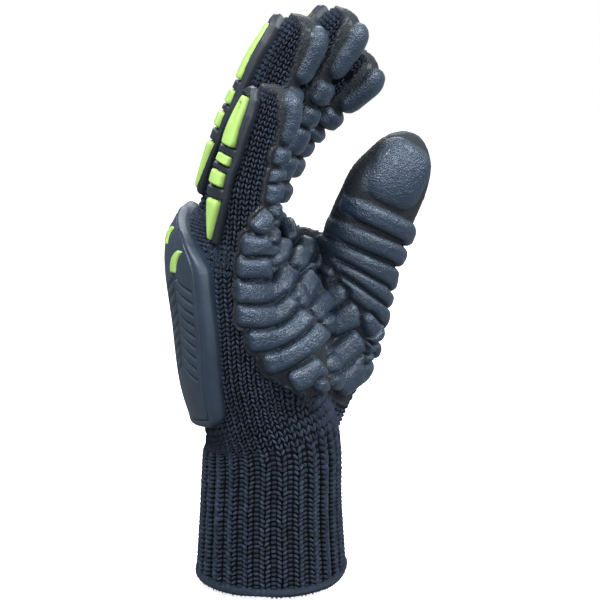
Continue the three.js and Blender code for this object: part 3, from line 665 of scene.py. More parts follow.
def inside_coat(points, names, turn, stage):
    """How many millimetres each point lies inside the coat's edge, by limb."""
    inside = np.full(len(points), -9.0)
    for name, bounds in FOAM_BOUNDS.items():
        on = names == name
        if not on.any():
            continue
        low, high = from_table(bounds, stage[on]).T
        t = turn[on]
        t = np.where((t < 90) & (high > 360), t + 360, t)
        per = MM_PER_DEGREE[name]
        value = np.minimum(t - low, high - t) * per
        if name == "hand":
            value = np.minimum(value, (stage[on] - 1.42) * 38)
        if name == "thumb":
            value = np.minimum(value, (stage[on] - 0.3) * 40)
        if name == "thumb" or name in fingers:
            value = np.maximum(value, (stage[on] - 2.86) * 24)
        inside[on] = value
    return inside


def dress_foam():
    points = coords(skin)
    inside = inside_coat(points, *where(points))
    rows = pads()
    for pad in rows:
        on, depth = pad.inside(points, vertex_normals(skin))
        inside[on] = np.maximum(inside[on], depth + 2.2)
    foam = copied(skin, "foam_coat")
    keep_faces(foam, inside > -2.6)
    modify(foam, "SUBSURF", levels=1, render_levels=1)
    even = modify(copied(foam, "even"), "SMOOTH", factor=0.5, iterations=16)
    points, facing = coords(foam), vertex_normals(even)
    bpy.data.objects.remove(even)
    names, turn, stage = where(points)
    inside = inside_coat(points, names, turn, stage)
    deepest, second = np.full((2, len(points)), -9.0)
    height, half = np.ones((2, len(points)))
    for pad in rows:
        on, depth = pad.inside(points, facing)
        inside[on] = np.maximum(inside[on], depth + 2.2)
        wins = depth > deepest[on]
        second[on] = np.maximum(second[on], np.where(wins, deepest[on], depth))
        deepest[on] = np.where(wins, depth, deepest[on])
        height[on] = np.where(wins, pad.height, height[on])
        half[on] = np.where(wins, pad.half, half[on])
    lift = height * pillow(np.minimum(deepest, 0.62 * (deepest - second) - PAD_CREASE), half)
    inside += 1.0 * wavering(points, 4.5, 1)
    smooth_side = smooth_step(turn, 120, 150) * (1 - smooth_step(turn, 200, 226))
    smooth_side *= smooth_step(stage, 0.9, 1.4) * (1 - smooth_step(stage, 2.45, 2.8))
    coat = COAT + 2.6 * np.where(names == "thumb", smooth_side, 0)
    body = np.maximum(coat, lift)
    edge_bead = 0.9 * np.exp(-(((inside - 0.9) / 0.7) ** 2)) * (lift < 1.0)
    out = -1.0 + (body + edge_bead + 1.0) * smooth_step(inside, -0.35, 0.75)
    folds = np.abs(wavering(points, 2.4, 2)) - 0.35 * np.abs(wavering(points, 1.1, 4))
    out += 0.3 * folds * smooth_step(inside, 0, 2)
    set_coords(foam, points + facing * out[:, None])
    # Painted shade: the groove attribute is high where a point lies low between the pads, and the finish
    # darkens the coat there by it.
    tone = foam.data.attributes.new("groove", "FLOAT", "POINT")
    tone.data.foreach_set("value", np.clip(1 - lift / 2.6, 0, 1).astype(np.float32))
    return shade(foam)


def keep_faces(piece, keep_vertex):
    """Deletes the vertices that aren't kept, with their faces."""
    use(piece)
    for part in (piece.data.vertices, piece.data.edges, piece.data.polygons):
        part.foreach_set("select", np.zeros(len(part), bool))
    bpy.ops.object.mode_set(mode="EDIT")
    bpy.ops.mesh.select_mode(type="VERT")
    bpy.ops.object.mode_set(mode="OBJECT")
    piece.data.vertices.foreach_set("select", ~keep_vertex)
    bpy.ops.object.mode_set(mode="EDIT")
    bpy.ops.mesh.delete(type="VERT")
    bpy.ops.object.mode_set(mode="OBJECT")
    return piece


foam = dress_foam()


# Rubber guard: stage, and turn of its edge on the thumb's side and on the little finger's.
GUARD_OUTLINE = [
    (1.5, 38, 158), (1.72, 33, 163), (2.24, 28, 166), (2.64, 28, 164), (3.04, 28, 160),
    (3.3, 36, 149), (3.5, 50, 134), (3.66, 64, 118), (3.8, 80, 104),
]
HERRINGBONE = {"spines": (128, 65), "reach": 21, "drop": 0.15, "first": 2.22, "last": 2.96, "count": 9}


HAND_STAGE = 44
GUARD_CORNER = 6.0
GUARD_FOOT, GUARD_WALL, GUARD_RIM = 0.7, 2.6, 3.4
GUARD_SUNK = 1.4


def guard_relief(turn, stage, edge):
    """The guard's height over the skin: steep wall, rounded rim, a groove round the field, and its ribs."""
    wall = -GUARD_SUNK + (GUARD_WALL + GUARD_SUNK) * (edge / GUARD_FOOT)
    slope = np.sin(np.clip((edge - GUARD_FOOT) / GUARD_RIM, 0, 1) * math.pi / 2)
    height = np.where(edge < GUARD_FOOT, wall, GUARD_WALL + (GUARD_HEIGHT - GUARD_WALL) * slope)
    height -= 0.9 * np.exp(-(((edge - 6.2) / 0.45) ** 2))
    height -= 0.25 * smooth_step(edge, 6.2, 8)
    ribs = HERRINGBONE
    pitch = (ribs["last"] - ribs["first"]) / (ribs["count"] - 1)
    for spine in ribs["spines"]:
        u = np.abs(turn - spine)
        share = u / ribs["reach"]
        line = stage + ribs["drop"] * np.clip(share, 0, 1) ** 0.6
        phase = (line - ribs["first"]) / pitch
        away = np.abs(phase - np.round(phase)) * pitch * HAND_STAGE
        in_range = (phase > -0.4) & (phase < ribs["count"] - 0.6)
        fade = smooth_step(u, 0.6, 2.2) * (1 - smooth_step(u, ribs["reach"] - 2.5, ribs["reach"]))
        height -= np.where(in_range, 1.3 * np.exp(-((away / 0.55) ** 2)) * fade, 0)
        along = smooth_step(stage, 2.14, 2.22) * (1 - smooth_step(stage, 2.96, 3.04))
        height -= 1.0 * np.exp(-((u * 0.6 / 0.5) ** 2)) * along
    return height


def dress_guard():
    first, last = GUARD_OUTLINE[0][0], GUARD_OUTLINE[-1][0]
    rows, columns = 210, 190

    def place(v, u):
        stage = first + (last - first) * v
        low, high = from_table(GUARD_OUTLINE, stage).T
        share = 0.55 * (0.5 - 0.5 * np.cos(u * math.pi)) + 0.45 * u
        turn = low + (high - low) * share
        grid = hand.skin(turn, stage, 0.0).reshape(rows + 1, columns + 1, 3)
        left, low_end = steps_along(grid, 1), steps_along(grid, 0)
        sides = np.minimum(left, left[:, -1:] - left)
        ends = np.minimum(low_end, low_end[-1:] - low_end)
        in_corner = (ends < GUARD_CORNER) & (sides < GUARD_CORNER)
        corner = GUARD_CORNER - np.hypot(GUARD_CORNER - ends, GUARD_CORNER - sides)
        edge = np.where(in_corner, corner, np.minimum(ends, sides)).ravel()
        return hand.skin(turn, stage, guard_relief(turn, stage, np.maximum(edge, 0)))

    guard = sheet("back_guard_rubber", rows, columns, place)
    return shade(outward_from(guard, hand, 2.5), 50)


def outward_from(piece, limb, stage):
    """Turns a sheet's faces to look away from its limb."""
    centre = limb.frame(np.array([stage]))[0][0]
    face = piece.data.polygons[len(piece.data.polygons) // 2]
    if (np.array(face.center) / MM - centre) @ np.array(face.normal) < 0:
        edited(piece, bpy.ops.mesh.flip_normals)
    return piece


guard = dress_guard()

# Turn and stage of each end, and width in degrees.
ACCENTS = [
    ((128, 2.97), (136, 3.24), 8),
    ((113, 3.22), (116, 3.47), 7),
    ((81, 3.22), (78, 3.47), 7),
    ((66, 2.97), (58, 3.24), 8),
]


def dress_accent(i, start, stop, width):
    def place(v, u):
        stage = start[1] + (stop[1] - start[1]) * v
        bow = 2.2 * np.sin(v * math.pi) * (1 if start[0] > 95 else -1)
        middle = start[0] + (stop[0] - start[0]) * v - bow
        half = width / 2 * (0.55 + 0.45 * np.sin(np.clip(0.15 + v * 0.85, 0, 1) * math.pi) ** 0.7)
        turn = middle + half * (2 * u - 1)
        rim = np.minimum(np.minimum(v, 1 - v) * 10, np.minimum(u, 1 - u) * width * 0.6)
        return hand.skin(turn, stage, GUARD_HEIGHT - 1.6 + 2.2 * quarter_round(rim / 0.9))

    return shade(outward_from(sheet(f"guard_accent_bar_{i}", 26, 14, place), hand, 3.3))


accents = [dress_accent(i + 1, *row) for i, row in enumerate(ACCENTS)]

# Finger strips: the turn of each one's middle, and the stages of their ends.
STRIP_TURNS = {"index": 82, "middle": 87, "ring": 96, "little": 112}
STRIP_SPAN = (0.38, 2.8)
# Bays for the bright inserts: first and last stage, and the width at each over the full width.
BAYS = [(0.42, 0.88, 0.25, 1.0), (1.0, 1.2, 1, 1), (1.3, 1.56, 1.05, 1.05), (1.7, 2.62, 1.12, 0.66)]
# Half widths in degrees.
INSERT_HALF = 20
STRIP_HALF = 33
STRIP_STAGES = [STRIP_SPAN[0], 0.9, 1.9, 2.3, 2.62, STRIP_SPAN[1]]
STRIP_SHARES = [0.5, 0.95, 1.1, 1.1, 0.9, 0.35]
BAY_DEPTH = 2.6
SLIT_DEPTH = 1.7


def strip_half(stage):
    return STRIP_HALF * np.interp(stage, STRIP_STAGES, STRIP_SHARES)


def dress_strip(name):
    limb, middle = fingers[name], STRIP_TURNS[name]

    def place(v, u):
        stage = STRIP_SPAN[0] + (STRIP_SPAN[1] - STRIP_SPAN[0]) * v
        half = strip_half(stage)
        share = 2 * u - 1
        turn = middle + half * share
        side = half * (1 - np.abs(share)) * FINGER_DEGREE
        ends = np.minimum(stage - STRIP_SPAN[0], STRIP_SPAN[1] - stage) * 30
        edge = np.minimum(side, ends)
        height = -1.2 + (STRIP_BASE + 2.4) * quarter_round(edge / 1.1)
        bay = np.zeros(len(v))
        for low, high, first, last in BAYS:
            width = INSERT_HALF * np.interp(stage, [low, high], [first, last])
            across = (width - np.abs(turn - middle)) * FINGER_DEGREE
            along = np.minimum(stage - low, high - stage) * FINGER_STAGE
            bay = np.maximum(bay, smooth_step(np.minimum(across, along), -0.5, 0.1))
        height += smooth_step(edge, 1.4, 2.2) - BAY_DEPTH * bay
        return limb.skin(turn, stage, height)

    strip = sheet(f"{name}_strip_rubber", 170, 44, place)
    return shade(outward_from(strip, limb, 1.5), 50)


def dress_insert(name, i, low, high, first, last):
    limb, middle = fingers[name], STRIP_TURNS[name]

    def place(v, u):
        stage = low + (high - low) * v
        round_end = (1 - np.abs(2 * v - 1) ** (5 if i != 4 else 7)) ** 0.35
        bay_half = INSERT_HALF * np.interp(stage, [low, high], [first, last])
        half = (bay_half - 0.8) * (0.3 + 0.7 * round_end)
        share = 2 * u - 1
        along = np.minimum(v, 1 - v) * (high - low) * FINGER_STAGE
        across = half * (1 - np.abs(share)) * FINGER_DEGREE
        rim = np.minimum(along, across)
        height = STRIP_BASE - 1.6 + (STRIP_HEIGHT + 2.2 - STRIP_BASE) * quarter_round(rim / 1.5)
        if i == 4:
            slit = np.exp(-((share * half * FINGER_DEGREE / 0.55) ** 2))
            slit *= smooth_step(v, 0.4, 0.46) * (1 - smooth_step(v, 0.82, 0.88))
            height = height - SLIT_DEPTH * slit
        return limb.skin(middle + half * share, stage, height)

    insert = sheet(f"{name}_insert_bright_{i}", 40, 22, place)
    return shade(outward_from(insert, limb, (low + high) / 2))


strips = [dress_strip(name) for name in fingers]
inserts = [dress_insert(name, i + 1, *bay) for name in fingers for i, bay in enumerate(BAYS)]
cover_trees = [tree_of(piece) for piece in [foam, guard, *strips]]


# Knit
HEM_CUT = 1.2


def dress_shell():
    # The sheet under the stitches, coloured near black as painted shade between them.
    shell = copied(skin, "knit_shell")
    modify(shell, "REMESH", mode="VOXEL", voxel_size=1.6 * MM)
    modify(shell, "SMOOTH", factor=0.5, iterations=4)
    points, facing = coords(shell), vertex_normals(shell)
    cuff = 1 - smooth_step(points[:, 2], CUFF_TOP - 5, CUFF_TOP + 7)
    set_coords(shell, points - facing * (0.5 + GROUND_SINK * cuff)[:, None])
    edited(shell, bpy.ops.mesh.bisect, plane_co=(0, 0, HEM_CUT * MM), plane_no=(0, 0, 1), clear_inner=True)
    modify(shell, "SOLIDIFY", thickness=KNIT_WALL * MM, offset=-1)
    return shade(shell)


shell = dress_shell()


def equal_turns(limb, stages, count, anchor):
    """Turns that part a section into equal lengths, from an anchor turn, for each stage."""
    fine = np.linspace(anchor, anchor + 360, 721)
    stage = np.repeat(stages, len(fine)).reshape(len(stages), -1)
    points = limb.bare(np.tile(fine, (len(stages), 1)), stage)
    wanted = np.linspace(0, 1, count + 1)
    return np.array([np.interp(wanted * row[-1], row, fine) for row in steps_along(points, 1)])


def even_stages(limb, turn, first, last, pitch):
    """Stages whose courses are one pitch apart along a turn."""
    fine = np.linspace(first, last, 400)
    length = steps_along(limb.bare(np.full(len(fine), float(turn)), fine))
    return np.interp(np.arange(0, length[-1], pitch), length, fine)


def as_template(out, across, along):
    """A stitch's points, quads and UV map from grids of its three coordinates and of its two ways."""
    rows, columns = across.shape
    quads = [
        (r * columns + c, r * columns + c + 1, (r + 1) * columns + c + 1, (r + 1) * columns + c)
        for r in range(rows - 1)
        for c in range(columns - 1)
    ]
    uv = np.stack([across.ravel() * 0.5 + 0.5, along.ravel()], axis=-1)
    return np.stack(out, axis=-1).reshape(-1, 3), np.array(quads), uv


def leg_template():
    """Half of one V: a plump leg that rises from its foot out to its shoulder. a across, b along, c up."""
    bb, aa = np.meshgrid(np.linspace(0, 1, 6), np.linspace(-1, 1, 5), indexing="ij")
    body = np.sin(np.clip(bb * 0.94 + 0.03, 0, 1) * math.pi) ** 0.55
    centre_a = 0.075 + 0.33 * bb
    centre_b = -0.18 + 0.95 * bb
    across = aa * 0.15 * body
    tilt = 0.9
    up = np.sqrt(np.maximum(1 - aa**2, 0)) * body * (1 - 0.25 * bb) - 0.22 - 0.55 * aa**4
    return as_template([centre_a + across, centre_b - across * tilt, up], aa, bb)


def purl_template():
    """The rounded back of a purl stitch: a short bar across the wale."""
    b, a = np.meshgrid(np.linspace(-1, 1, 4), np.linspace(-1, 1, 5), indexing="ij")
    body = np.sqrt(np.maximum(1 - a**2, 0)) * 0.6 + 0.4
    up = np.sqrt(np.maximum(1 - b**2, 0)) * body - 0.35
    return as_template([0.5 * a * 1.1, 0.5 + b * 0.55, up], b, a * 0.5 + 0.5)


LEG = leg_template()
PURL = purl_template()
rng = np.random.default_rng(7)


def stitch_mesh(name, cells, template, ways, proud):
    """One mesh of a template copied into every cell. A cell is its four corners and their normals."""
    local, quads, uv = template
    corners, normals = cells
    parts, tone = [], []
    for way in ways:
        jitter = rng.normal(0, 0.035, (len(corners), 2))
        a = 0.5 + way * local[:, 0] + jitter[:, :1]
        b = local[:, 1] + jitter[:, 1:]
        weights = np.stack([(1 - a) * (1 - b), a * (1 - b), a * b, (1 - a) * b], axis=-1)
        place = np.einsum("mvk,mkd->mvd", weights, corners)
        facing = unit(np.einsum("mvk,mkd->mvd", weights, normals))
        lift = proud * local[None, :, 2] * (1 + rng.normal(0, 0.06, (len(corners), 1)))
        parts.append(place + facing * lift[..., None])
        tone.append(np.repeat(rng.uniform(0, 1, len(corners)), len(local)))
    points = np.concatenate([p.reshape(-1, 3) for p in parts])
    count = len(corners) * len(ways)
    faces = (np.arange(count)[:, None, None] * len(local) + quads[None]).reshape(-1, 4)
    half = len(corners) * len(quads)
    for i, way in enumerate(ways):
        if way < 0:
            side = slice(i * half, (i + 1) * half)
            faces[side] = faces[side, ::-1]
    mesh = bpy.data.meshes.new(name)
    mesh.vertices.add(len(points))
    mesh.vertices.foreach_set("co", (points * MM).astype(np.float32).ravel())
    mesh.loops.add(faces.size)
    mesh.loops.foreach_set("vertex_index", faces.astype(np.int32).ravel())
    mesh.polygons.add(len(faces))
    mesh.polygons.foreach_set("loop_start", np.arange(0, faces.size, 4, dtype=np.int32))
    mesh.update(calc_edges=True)
    layer = mesh.uv_layers.new(name="UVMap")
    layer.data.foreach_set("uv", uv[faces.ravel() % len(local)].astype(np.float32).ravel())
    shade_attribute = mesh.attributes.new("tone", "FLOAT", "POINT")
    shade_attribute.data.foreach_set("value", np.concatenate(tone).astype(np.float32))
    mesh.validate()
    piece = bpy.data.objects.new(name, mesh)
    bpy.context.collection.objects.link(piece)
    return shade(piece)


limb_bodies = {}
for limb_name, limb in limbs.items():
    body = limb_body(limb, 0, limb.end)
    limb_bodies[limb_name] = tree_of(body)
    bpy.data.objects.remove(body)


DEEP = 0.4


def deep_in_another(points, own):
    """Marks points that lie inside another limb, where that limb's own stitches show instead."""
    inside = np.zeros(len(points), bool)
    for name, tree in limb_bodies.items():
        if name == own:
            continue
        for i in np.where(~inside)[0]:
            point = Vector(points[i] * MM)
            spot, normal, _, _ = tree.find_nearest(point, 0.03)
            inside[i] = spot is not None and (point - spot).dot(normal) < -DEEP * MM
    return inside


def covered(points, normals, reach=9.0):
    """Marks points that the foam or the rubber lies over."""
    hit = np.zeros(len(points), bool)
    for i, (p, n) in enumerate(zip(points, normals)):
        start, way = Vector((p - n * 0.2) * MM), Vector(n)
        hit[i] = any(tree.ray_cast(start, way, reach * MM)[0] is not None for tree in cover_trees)
    return hit


def knit_cells(name, limb, turns, stages):
    """The cells of a knit grid, and which show: on the glove's outside and not wholly under a cover."""
    stage = np.repeat(stages, turns.shape[1])
    points, normals = limb.bare(turns.ravel(), stage), limb.normal(turns.ravel(), stage)
    grid, facing, moved = (found.reshape(*turns.shape, -1) for found in settle(points, normals))
    low, high = slice(None, -1), slice(1, None)
    around = [(low, low), (low, high), (high, high), (high, low)]
    corners = np.stack([grid[c] for c in around], axis=2).reshape(-1, 4, 3)
    normals = np.stack([facing[c] for c in around], axis=2).reshape(-1, 4, 3)
    shift = np.stack([moved[c] for c in around], axis=2).reshape(-1, 4).max(1)
    middle = corners.mean(1)
    ok = (shift < (8 if name == "hand" else 4.5)) & ~deep_in_another(middle, name)
    hidden = np.ones(len(middle), bool)
    spread = corners * 1.35 - middle[:, None] * 0.35
    for k in range(4):
        todo = np.where(ok & hidden)[0]
        hidden[todo] = covered(spread[todo, k], normals[todo, k])
    ok &= ~hidden
    width = np.linalg.norm(corners[:, 1] - corners[:, 0], axis=1)
    ok &= width > 0.9
    return ok, corners, normals


def knit_limb(name, limb, last, course, wales, anchor):
    stages = even_stages(limb, anchor, 0.0, last, course)
    ok, corners, normals = knit_cells(name, limb, equal_turns(limb, stages, wales, anchor), stages)
    return stitch_mesh(f"knit_stitches_{name}", (corners[ok], normals[ok]), LEG, (1, -1), STITCH_PROUD)


knit_pieces = []
for name, limb in fingers.items():
    knit_pieces.append(knit_limb(name, limb, 2.97, COURSE_FINGER, WALES_FINGER, 180))
knit_pieces.append(knit_limb("thumb", thumb, 2.5, COURSE_HAND, WALES_THUMB, 0))
knit_pieces.append(knit_limb("web", web, 1.9, COURSE_HAND, WALES_WEB, 0))


def knit_hand():
    """Wales run on from the cuff into the hand. In the cuff every other one sinks and turns to purl bars."""
    stages = even_stages(hand, 180, HEM_HEIGHT * 0.8 / CUFF_TOP, 3.85, COURSE_HAND)
    turns = equal_turns(hand, stages, WALES_HAND, 180)
    height = stages * CUFF_TOP
    ribbed = 1 - smooth_step(height, CUFF_TOP - 5, CUFF_TOP + 7)
    gap = np.diff(turns, axis=1)
    turns[:, 1:-1:2] += gap[:, 1::2] * 0.34 * ribbed[:, None]
    ok, corners, normals = knit_cells("hand", hand, turns, stages)
    row, wale = np.divmod(np.arange(len(ok)), WALES_HAND)
    sunk = (wale % 2 == 1) * ribbed[row]
    corners = corners - normals * (RIB_SINK * sunk)[:, None, None]
    in_cuff = height[row] < CUFF_TOP
    bars = sunk > 0.6
    made = []
    for name, chosen, template, ways, proud in (
        ("hand", ok & ~in_cuff, LEG, (1, -1), STITCH_PROUD),
        ("cuff_ribs", ok & in_cuff & ~bars, LEG, (1, -1), STITCH_PROUD),
        ("cuff_purls", ok & in_cuff & bars, PURL, (1,), 0.8 * STITCH_PROUD),
    ):
        cells = corners[chosen], normals[chosen]
        made.append(stitch_mesh(f"knit_stitches_{name}", cells, template, ways, proud))
    return made


knit_pieces += knit_hand()


def dress_hem():
    """The rolled edge: a ring pressed to the cuff's section. The slanting overlock thread round it is made
    apart, by hem_thread.
    """
    middle, radius = HEM_HEIGHT / 2, HEM_HEIGHT / 2
    bpy.ops.object.select_all(action="DESELECT")
    thin = 0.25
    bpy.ops.mesh.primitive_torus_add(
        major_segments=224, minor_segments=20, major_radius=1, minor_radius=thin,
    )
    ring = bpy.context.active_object
    ring.name = ring.data.name = "hem_roll"
    co = coords(ring) * MM
    turn = np.degrees(np.arctan2(co[:, 1], co[:, 0]))
    out, up = (np.hypot(co[:, 0], co[:, 1]) - 1) / thin, co[:, 2] / thin
    lumps = 1 + 0.06 * np.sin(np.radians(turn * 56)) + 0.05 * np.sin(np.radians(turn * 9) + 1.3)
    stage = (middle + up * radius * lumps) / CUFF_TOP
    points = hand.skin(turn, np.maximum(stage, 0.0), -0.9 + out * 1.9 * lumps)
    points[:, 2] = np.maximum(points[:, 2], 0) + np.minimum(middle + up * radius * lumps, 0)
    set_coords(ring, points)
    return shade(outward(ring))


hem = dress_hem()


def hem_thread():
    """Overlock thread: one slanting stitch after another over the rolled edge."""
    stitches, lean = 112, 1.4
    turns = np.linspace(180, 540, stitches + 1)
    low, high = turns[:-1], turns[1:]
    foot, head = 0.35, HEM_HEIGHT + 0.3
    rows = ((low, foot, 0.55), (high, foot, 0.55), (high + lean, head, 0.45), (low + lean, head, 0.45))
    corners = np.stack([hand.skin(turn, z / CUFF_TOP, proud) for turn, z, proud in rows], axis=1)
    normals = np.stack([hand.normal(turn, np.full(stitches, z / CUFF_TOP)) for turn, z, _ in rows], axis=1)
    b, a = np.meshgrid(np.linspace(0, 1, 6), np.linspace(-1, 1, 5), indexing="ij")
    body = np.sin(np.clip(b * 0.9 + 0.05, 0, 1) * math.pi) ** 0.4
    up = np.sqrt(np.maximum(1 - a**2, 0)) * body - 0.3
    template = as_template([0.42 * a * body, b, up], a, b)
    return stitch_mesh("hem_overlock", (corners, normals), template, (1,), 0.75)


overlock = hem_thread()


# Materials
def linear(code):
    values = [int(code[i:i + 2], 16) / 255 for i in (1, 3, 5)]
    return tuple(v / 12.92 if v <= 0.04045 else ((v + 0.055) / 1.055) ** 2.4 for v in values) + (1,)


def add(tree, kind, links=None, **settings):
    """Adds a node, sets its sockets and properties, and links others into it."""
    node = tree.nodes.new(kind)
    for key, value in settings.items():
        if hasattr(node, key):
            setattr(node, key, value)
        else:
            node.inputs[key.replace("_", " ")].default_value = value
    for name, source in (links or {}).items():
        tree.links.new(source, node.inputs[name])
    return node


def coloured(tree, shader, source, stops):
    """Colours a surface by a value, through a ramp of colours."""
    ramp = add(tree, "ShaderNodeValToRGB", {"Fac": source})
    elements = ramp.color_ramp.elements
    while len(elements) < len(stops):
        elements.new(0.5)
    for element, (position, code) in zip(elements, stops):
        element.position = position
        element.color = linear(code)
    tree.links.new(ramp.outputs[0], shader.inputs["Base Color"])
    return ramp.outputs[0]


def bumped(tree, shader, height, strength, distance):
    bump = add(tree, "ShaderNodeBump", {"Height": height}, Strength=strength, Distance=distance)
    tree.links.new(bump.outputs[0], shader.inputs["Normal"])


def material(name, roughness, sheen=0.0, coat=0.0, gloss=0.5):
    made = bpy.data.materials.new(name)
    made.use_nodes = True
    tree = made.node_tree
    shader = tree.nodes["Principled BSDF"]
    shader.inputs["Roughness"].default_value = roughness
    shader.inputs["Sheen Weight"].default_value = sheen
    shader.inputs["Sheen Roughness"].default_value = 0.5
    shader.inputs["Coat Weight"].default_value = coat
    shader.inputs["Specular IOR Level"].default_value = gloss
    place = add(tree, "ShaderNodeTexCoord").outputs["Object"]
    return made, tree, shader, place


def yarn_cotton_blend():
    """Spun cotton and polyester yarn, knitted, dyed near black: matt, a little fuzzy, uneven in tone."""
    made, tree, shader, place = material("spun_yarn_knit", 0.8, sheen=0.03, gloss=0.22)
    tone = add(tree, "ShaderNodeAttribute", attribute_name="tone")
    cloud = add(tree, "ShaderNodeTexNoise", {"Vector": place}, Scale=90.0, Detail=3.0)
    parts = {0: tone.outputs["Fac"], 1: cloud.outputs["Fac"]}
    mixed = add(tree, "ShaderNodeMath", parts, operation="MULTIPLY")
    coloured(tree, shader, mixed.outputs[0], [(0.0, "#1c232e"), (0.3, "#262e3b"), (0.7, "#313a4a")])
    uv = add(tree, "ShaderNodeTexCoord").outputs["UV"]
    ply = add(tree, "ShaderNodeMapping", {"Vector": uv}, Rotation=(0, 0, 0.9), Scale=(1.0, 2.2, 1))
    twist = add(tree, "ShaderNodeTexWave", {"Vector": ply.outputs[0]}, Scale=1.6, Distortion=1.5)
    fibre = add(tree, "ShaderNodeTexNoise", {"Vector": place}, Scale=2600.0, Detail=2.0)
    height = add(tree, "ShaderNodeMath", {0: twist.outputs["Fac"], 1: fibre.outputs["Fac"]}, operation="ADD")
    bumped(tree, shader, height.outputs[0], 0.5, 0.00022)
    return made


def knit_gap_shade():
    """The knit's inside face, seen between its stitches and inside the cuff, coloured darker than the yarn
    as painted shade.
    """
    made, tree, shader, place = material("knit_inner_face_shade", 0.95, gloss=0.1)
    loops = add(tree, "ShaderNodeTexVoronoi", {"Vector": place}, Scale=520.0)
    # Painted shade: colours darker than the yarn's, for the shade between the stitches.
    coloured(tree, shader, loops.outputs["Distance"], [(0.0, "#0b0e13"), (0.8, "#050608")])
    bumped(tree, shader, loops.outputs["Distance"], 0.6, 0.0006)
    return made


def dipped_foam():
    """Nitrile foam, dipped and cured: dark slate, half glossy, finely wrinkled, with a browner bloom.
    Painted shade turns the coat near black in the grooves between the pads.
    """
    made, tree, shader, place = material("dipped_nitrile_foam", 0.35, coat=0.1, gloss=0.5)
    bloom = add(tree, "ShaderNodeTexNoise", {"Vector": place}, Scale=55.0, Detail=4.0)
    groove = add(tree, "ShaderNodeAttribute", attribute_name="groove")
    stops = [(0.3, "#1d2936"), (0.55, "#263240"), (0.75, "#303641")]
    # Painted shade: the groove attribute mixes the colour towards near black #070d14 between the pads.
    dark = add(tree, "ShaderNodeMix", {0: groove.outputs["Fac"]}, data_type="RGBA")
    tree.links.new(coloured(tree, shader, bloom.outputs["Fac"], stops), dark.inputs[6])
    dark.inputs[7].default_value = linear("#070d14")
    tree.links.new(dark.outputs[2], shader.inputs["Base Color"])
    rough = add(tree, "ShaderNodeMapRange", {"Value": bloom.outputs["Fac"]}, To_Min=0.27, To_Max=0.42)
    parts = {0: groove.outputs["Fac"], 2: rough.outputs[0]}
    dull = add(tree, "ShaderNodeMath", parts, operation="MULTIPLY_ADD")
    dull.inputs[1].default_value = 0.4
    tree.links.new(dull.outputs[0], shader.inputs["Roughness"])
    wrinkle = add(tree, "ShaderNodeTexNoise", {"Vector": place}, Scale=700.0, Detail=6.0, Roughness=0.65)
    pores = add(tree, "ShaderNodeTexVoronoi", {"Vector": place}, Scale=1400.0)
    parts = {0: wrinkle.outputs["Fac"], 1: pores.outputs["Distance"]}
    height = add(tree, "ShaderNodeMath", parts, operation="ADD")
    bumped(tree, shader, height.outputs[0], 0.75, 0.0004)
    return made


def moulded_rubber(name, base, light, roughness, grain):
    """Thermoplastic rubber, injection moulded: even colour, satin, with a very fine mould texture."""
    made, tree, shader, place = material(name, roughness)
    cloud = add(tree, "ShaderNodeTexNoise", {"Vector": place}, Scale=120.0, Detail=4.0)
    coloured(tree, shader, cloud.outputs["Fac"], [(0.3, base), (0.7, light)])
    texture = add(tree, "ShaderNodeTexNoise", {"Vector": place}, Scale=2400.0, Detail=3.0)
    bumped(tree, shader, texture.outputs["Fac"], grain, 0.0001)
    return made


yarn = yarn_cotton_blend()
painted_gap_shade = knit_gap_shade()
foam_finish = dipped_foam()
guard_rubber = moulded_rubber("moulded_rubber_slate", "#1c2733", "#242f3c", 0.5, 0.5)
strip_rubber = moulded_rubber("moulded_rubber_black", "#0e131a", "#131921", 0.5, 0.5)
bright_rubber = moulded_rubber("moulded_rubber_lime", "#97b559", "#a1bf63", 0.45, 0.25)


def finish_piece(piece, surface, nodes):
    piece.data.materials.clear()
    piece.data.materials.append(surface)
    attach(piece, "root")
    if nodes:
        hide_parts(*nodes)


finger_names = list(fingers)
finish_piece(shell, painted_gap_shade, [f"knit_{part}" for part in ("hand", "cuff", "thumb", *finger_names)])
for piece in knit_pieces:
    finish_piece(piece, yarn, [])
finish_piece(hem, yarn, ["cuff_hem"])
finish_piece(overlock, yarn, [])
finish_piece(foam, foam_finish, [f"foam_{part}" for part in ("palm", *finger_names)])
finish_piece(guard, guard_rubber, ["back_guard"])
for i, piece in enumerate(accents):
    finish_piece(piece, bright_rubber, [f"guard_accent_{i + 1}"])
for name, piece in zip(finger_names, strips):
    finish_piece(piece, strip_rubber, [f"{name}_strip"])
for k, piece in enumerate(inserts):
    finish_piece(piece, bright_rubber, [f"{finger_names[k // 4]}_insert_{k % 4 + 1}"])
bpy.data.objects.remove(skin)


# Stage
def aim(thing, target):
    way = Vector(target) - thing.location
    thing.rotation_euler = way.to_track_quat("-Z", "Y").to_euler()


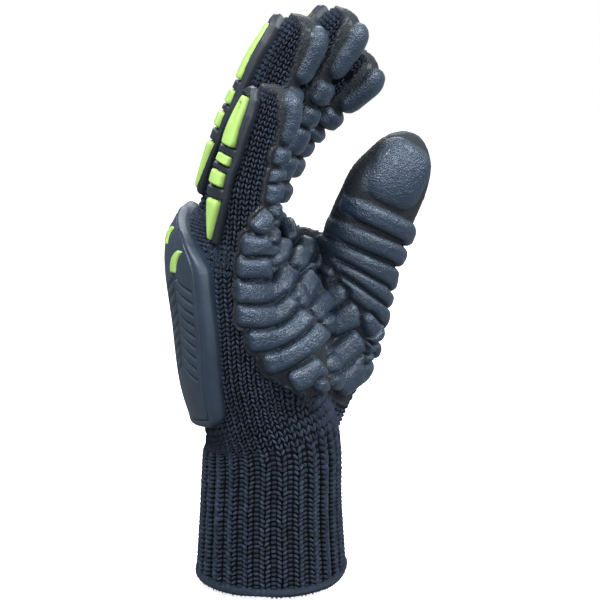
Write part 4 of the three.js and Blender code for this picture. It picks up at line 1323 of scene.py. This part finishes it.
TARGET = Vector(VIEW_TARGET * MM)
camera = bpy.data.objects.new("camera", bpy.data.cameras.new("camera"))
bpy.context.collection.objects.link(camera)
camera.location = Vector(VIEW_EYE * MM)
camera.data.sensor_width = 36
camera.data.lens = 89.4
aim(camera, TARGET)
bpy.context.scene.camera = camera


def soft_light(name, turn, rise, far, size, power):
    light = bpy.data.objects.new(name, bpy.data.lights.new(name, "AREA"))
    bpy.context.collection.objects.link(light)
    light.data.size = size
    light.data.energy = power
    light.data.color = (0.86, 0.93, 1.0)
    light.location = TARGET + far * Vector(way_back(math.radians(turn), math.radians(rise)))
    aim(light, TARGET)


soft_light("key", -120, 52, 0.8, 0.22, 9.5)
soft_light("front", -70, 18, 1.0, 0.35, 6.5)
soft_light("palm", -10, 38, 0.9, 0.35, 10.5)
soft_light("rim", 100, 45, 0.9, 0.5, 6)

bpy.ops.object.select_all(action="DESELECT")
bpy.ops.mesh.primitive_plane_add(size=6, location=(0, 0, -0.004))
floor = bpy.context.active_object
floor.name = "floor"
paper = bpy.data.materials.new("white_paper")
paper.use_nodes = True
white = linear("#ffffff")
sheet_look = {"Base Color": white, "Roughness": 0.9, "Emission Color": white, "Emission Strength": 0.8}
for socket, value in sheet_look.items():
    paper.node_tree.nodes["Principled BSDF"].inputs[socket].default_value = value
floor.data.materials.append(paper)
floor.visible_diffuse = floor.visible_glossy = False

world = bpy.data.worlds.new("world")
world.use_nodes = True
sky = world.node_tree
backdrop = sky.nodes["Background"]
backdrop.inputs[0].default_value = (1, 1, 1, 1)
backdrop.inputs[1].default_value = 1.0
dim = add(sky, "ShaderNodeBackground", Color=(0.82, 0.91, 1, 1), Strength=0.42)
ray = add(sky, "ShaderNodeLightPath")
parts = {0: ray.outputs["Is Camera Ray"], 1: dim.outputs[0], 2: backdrop.outputs[0]}
either = add(sky, "ShaderNodeMixShader", parts)
sky.links.new(either.outputs[0], sky.nodes["World Output"].inputs[0])
bpy.context.scene.world = world
bpy.context.scene.view_settings.view_transform = "Standard"
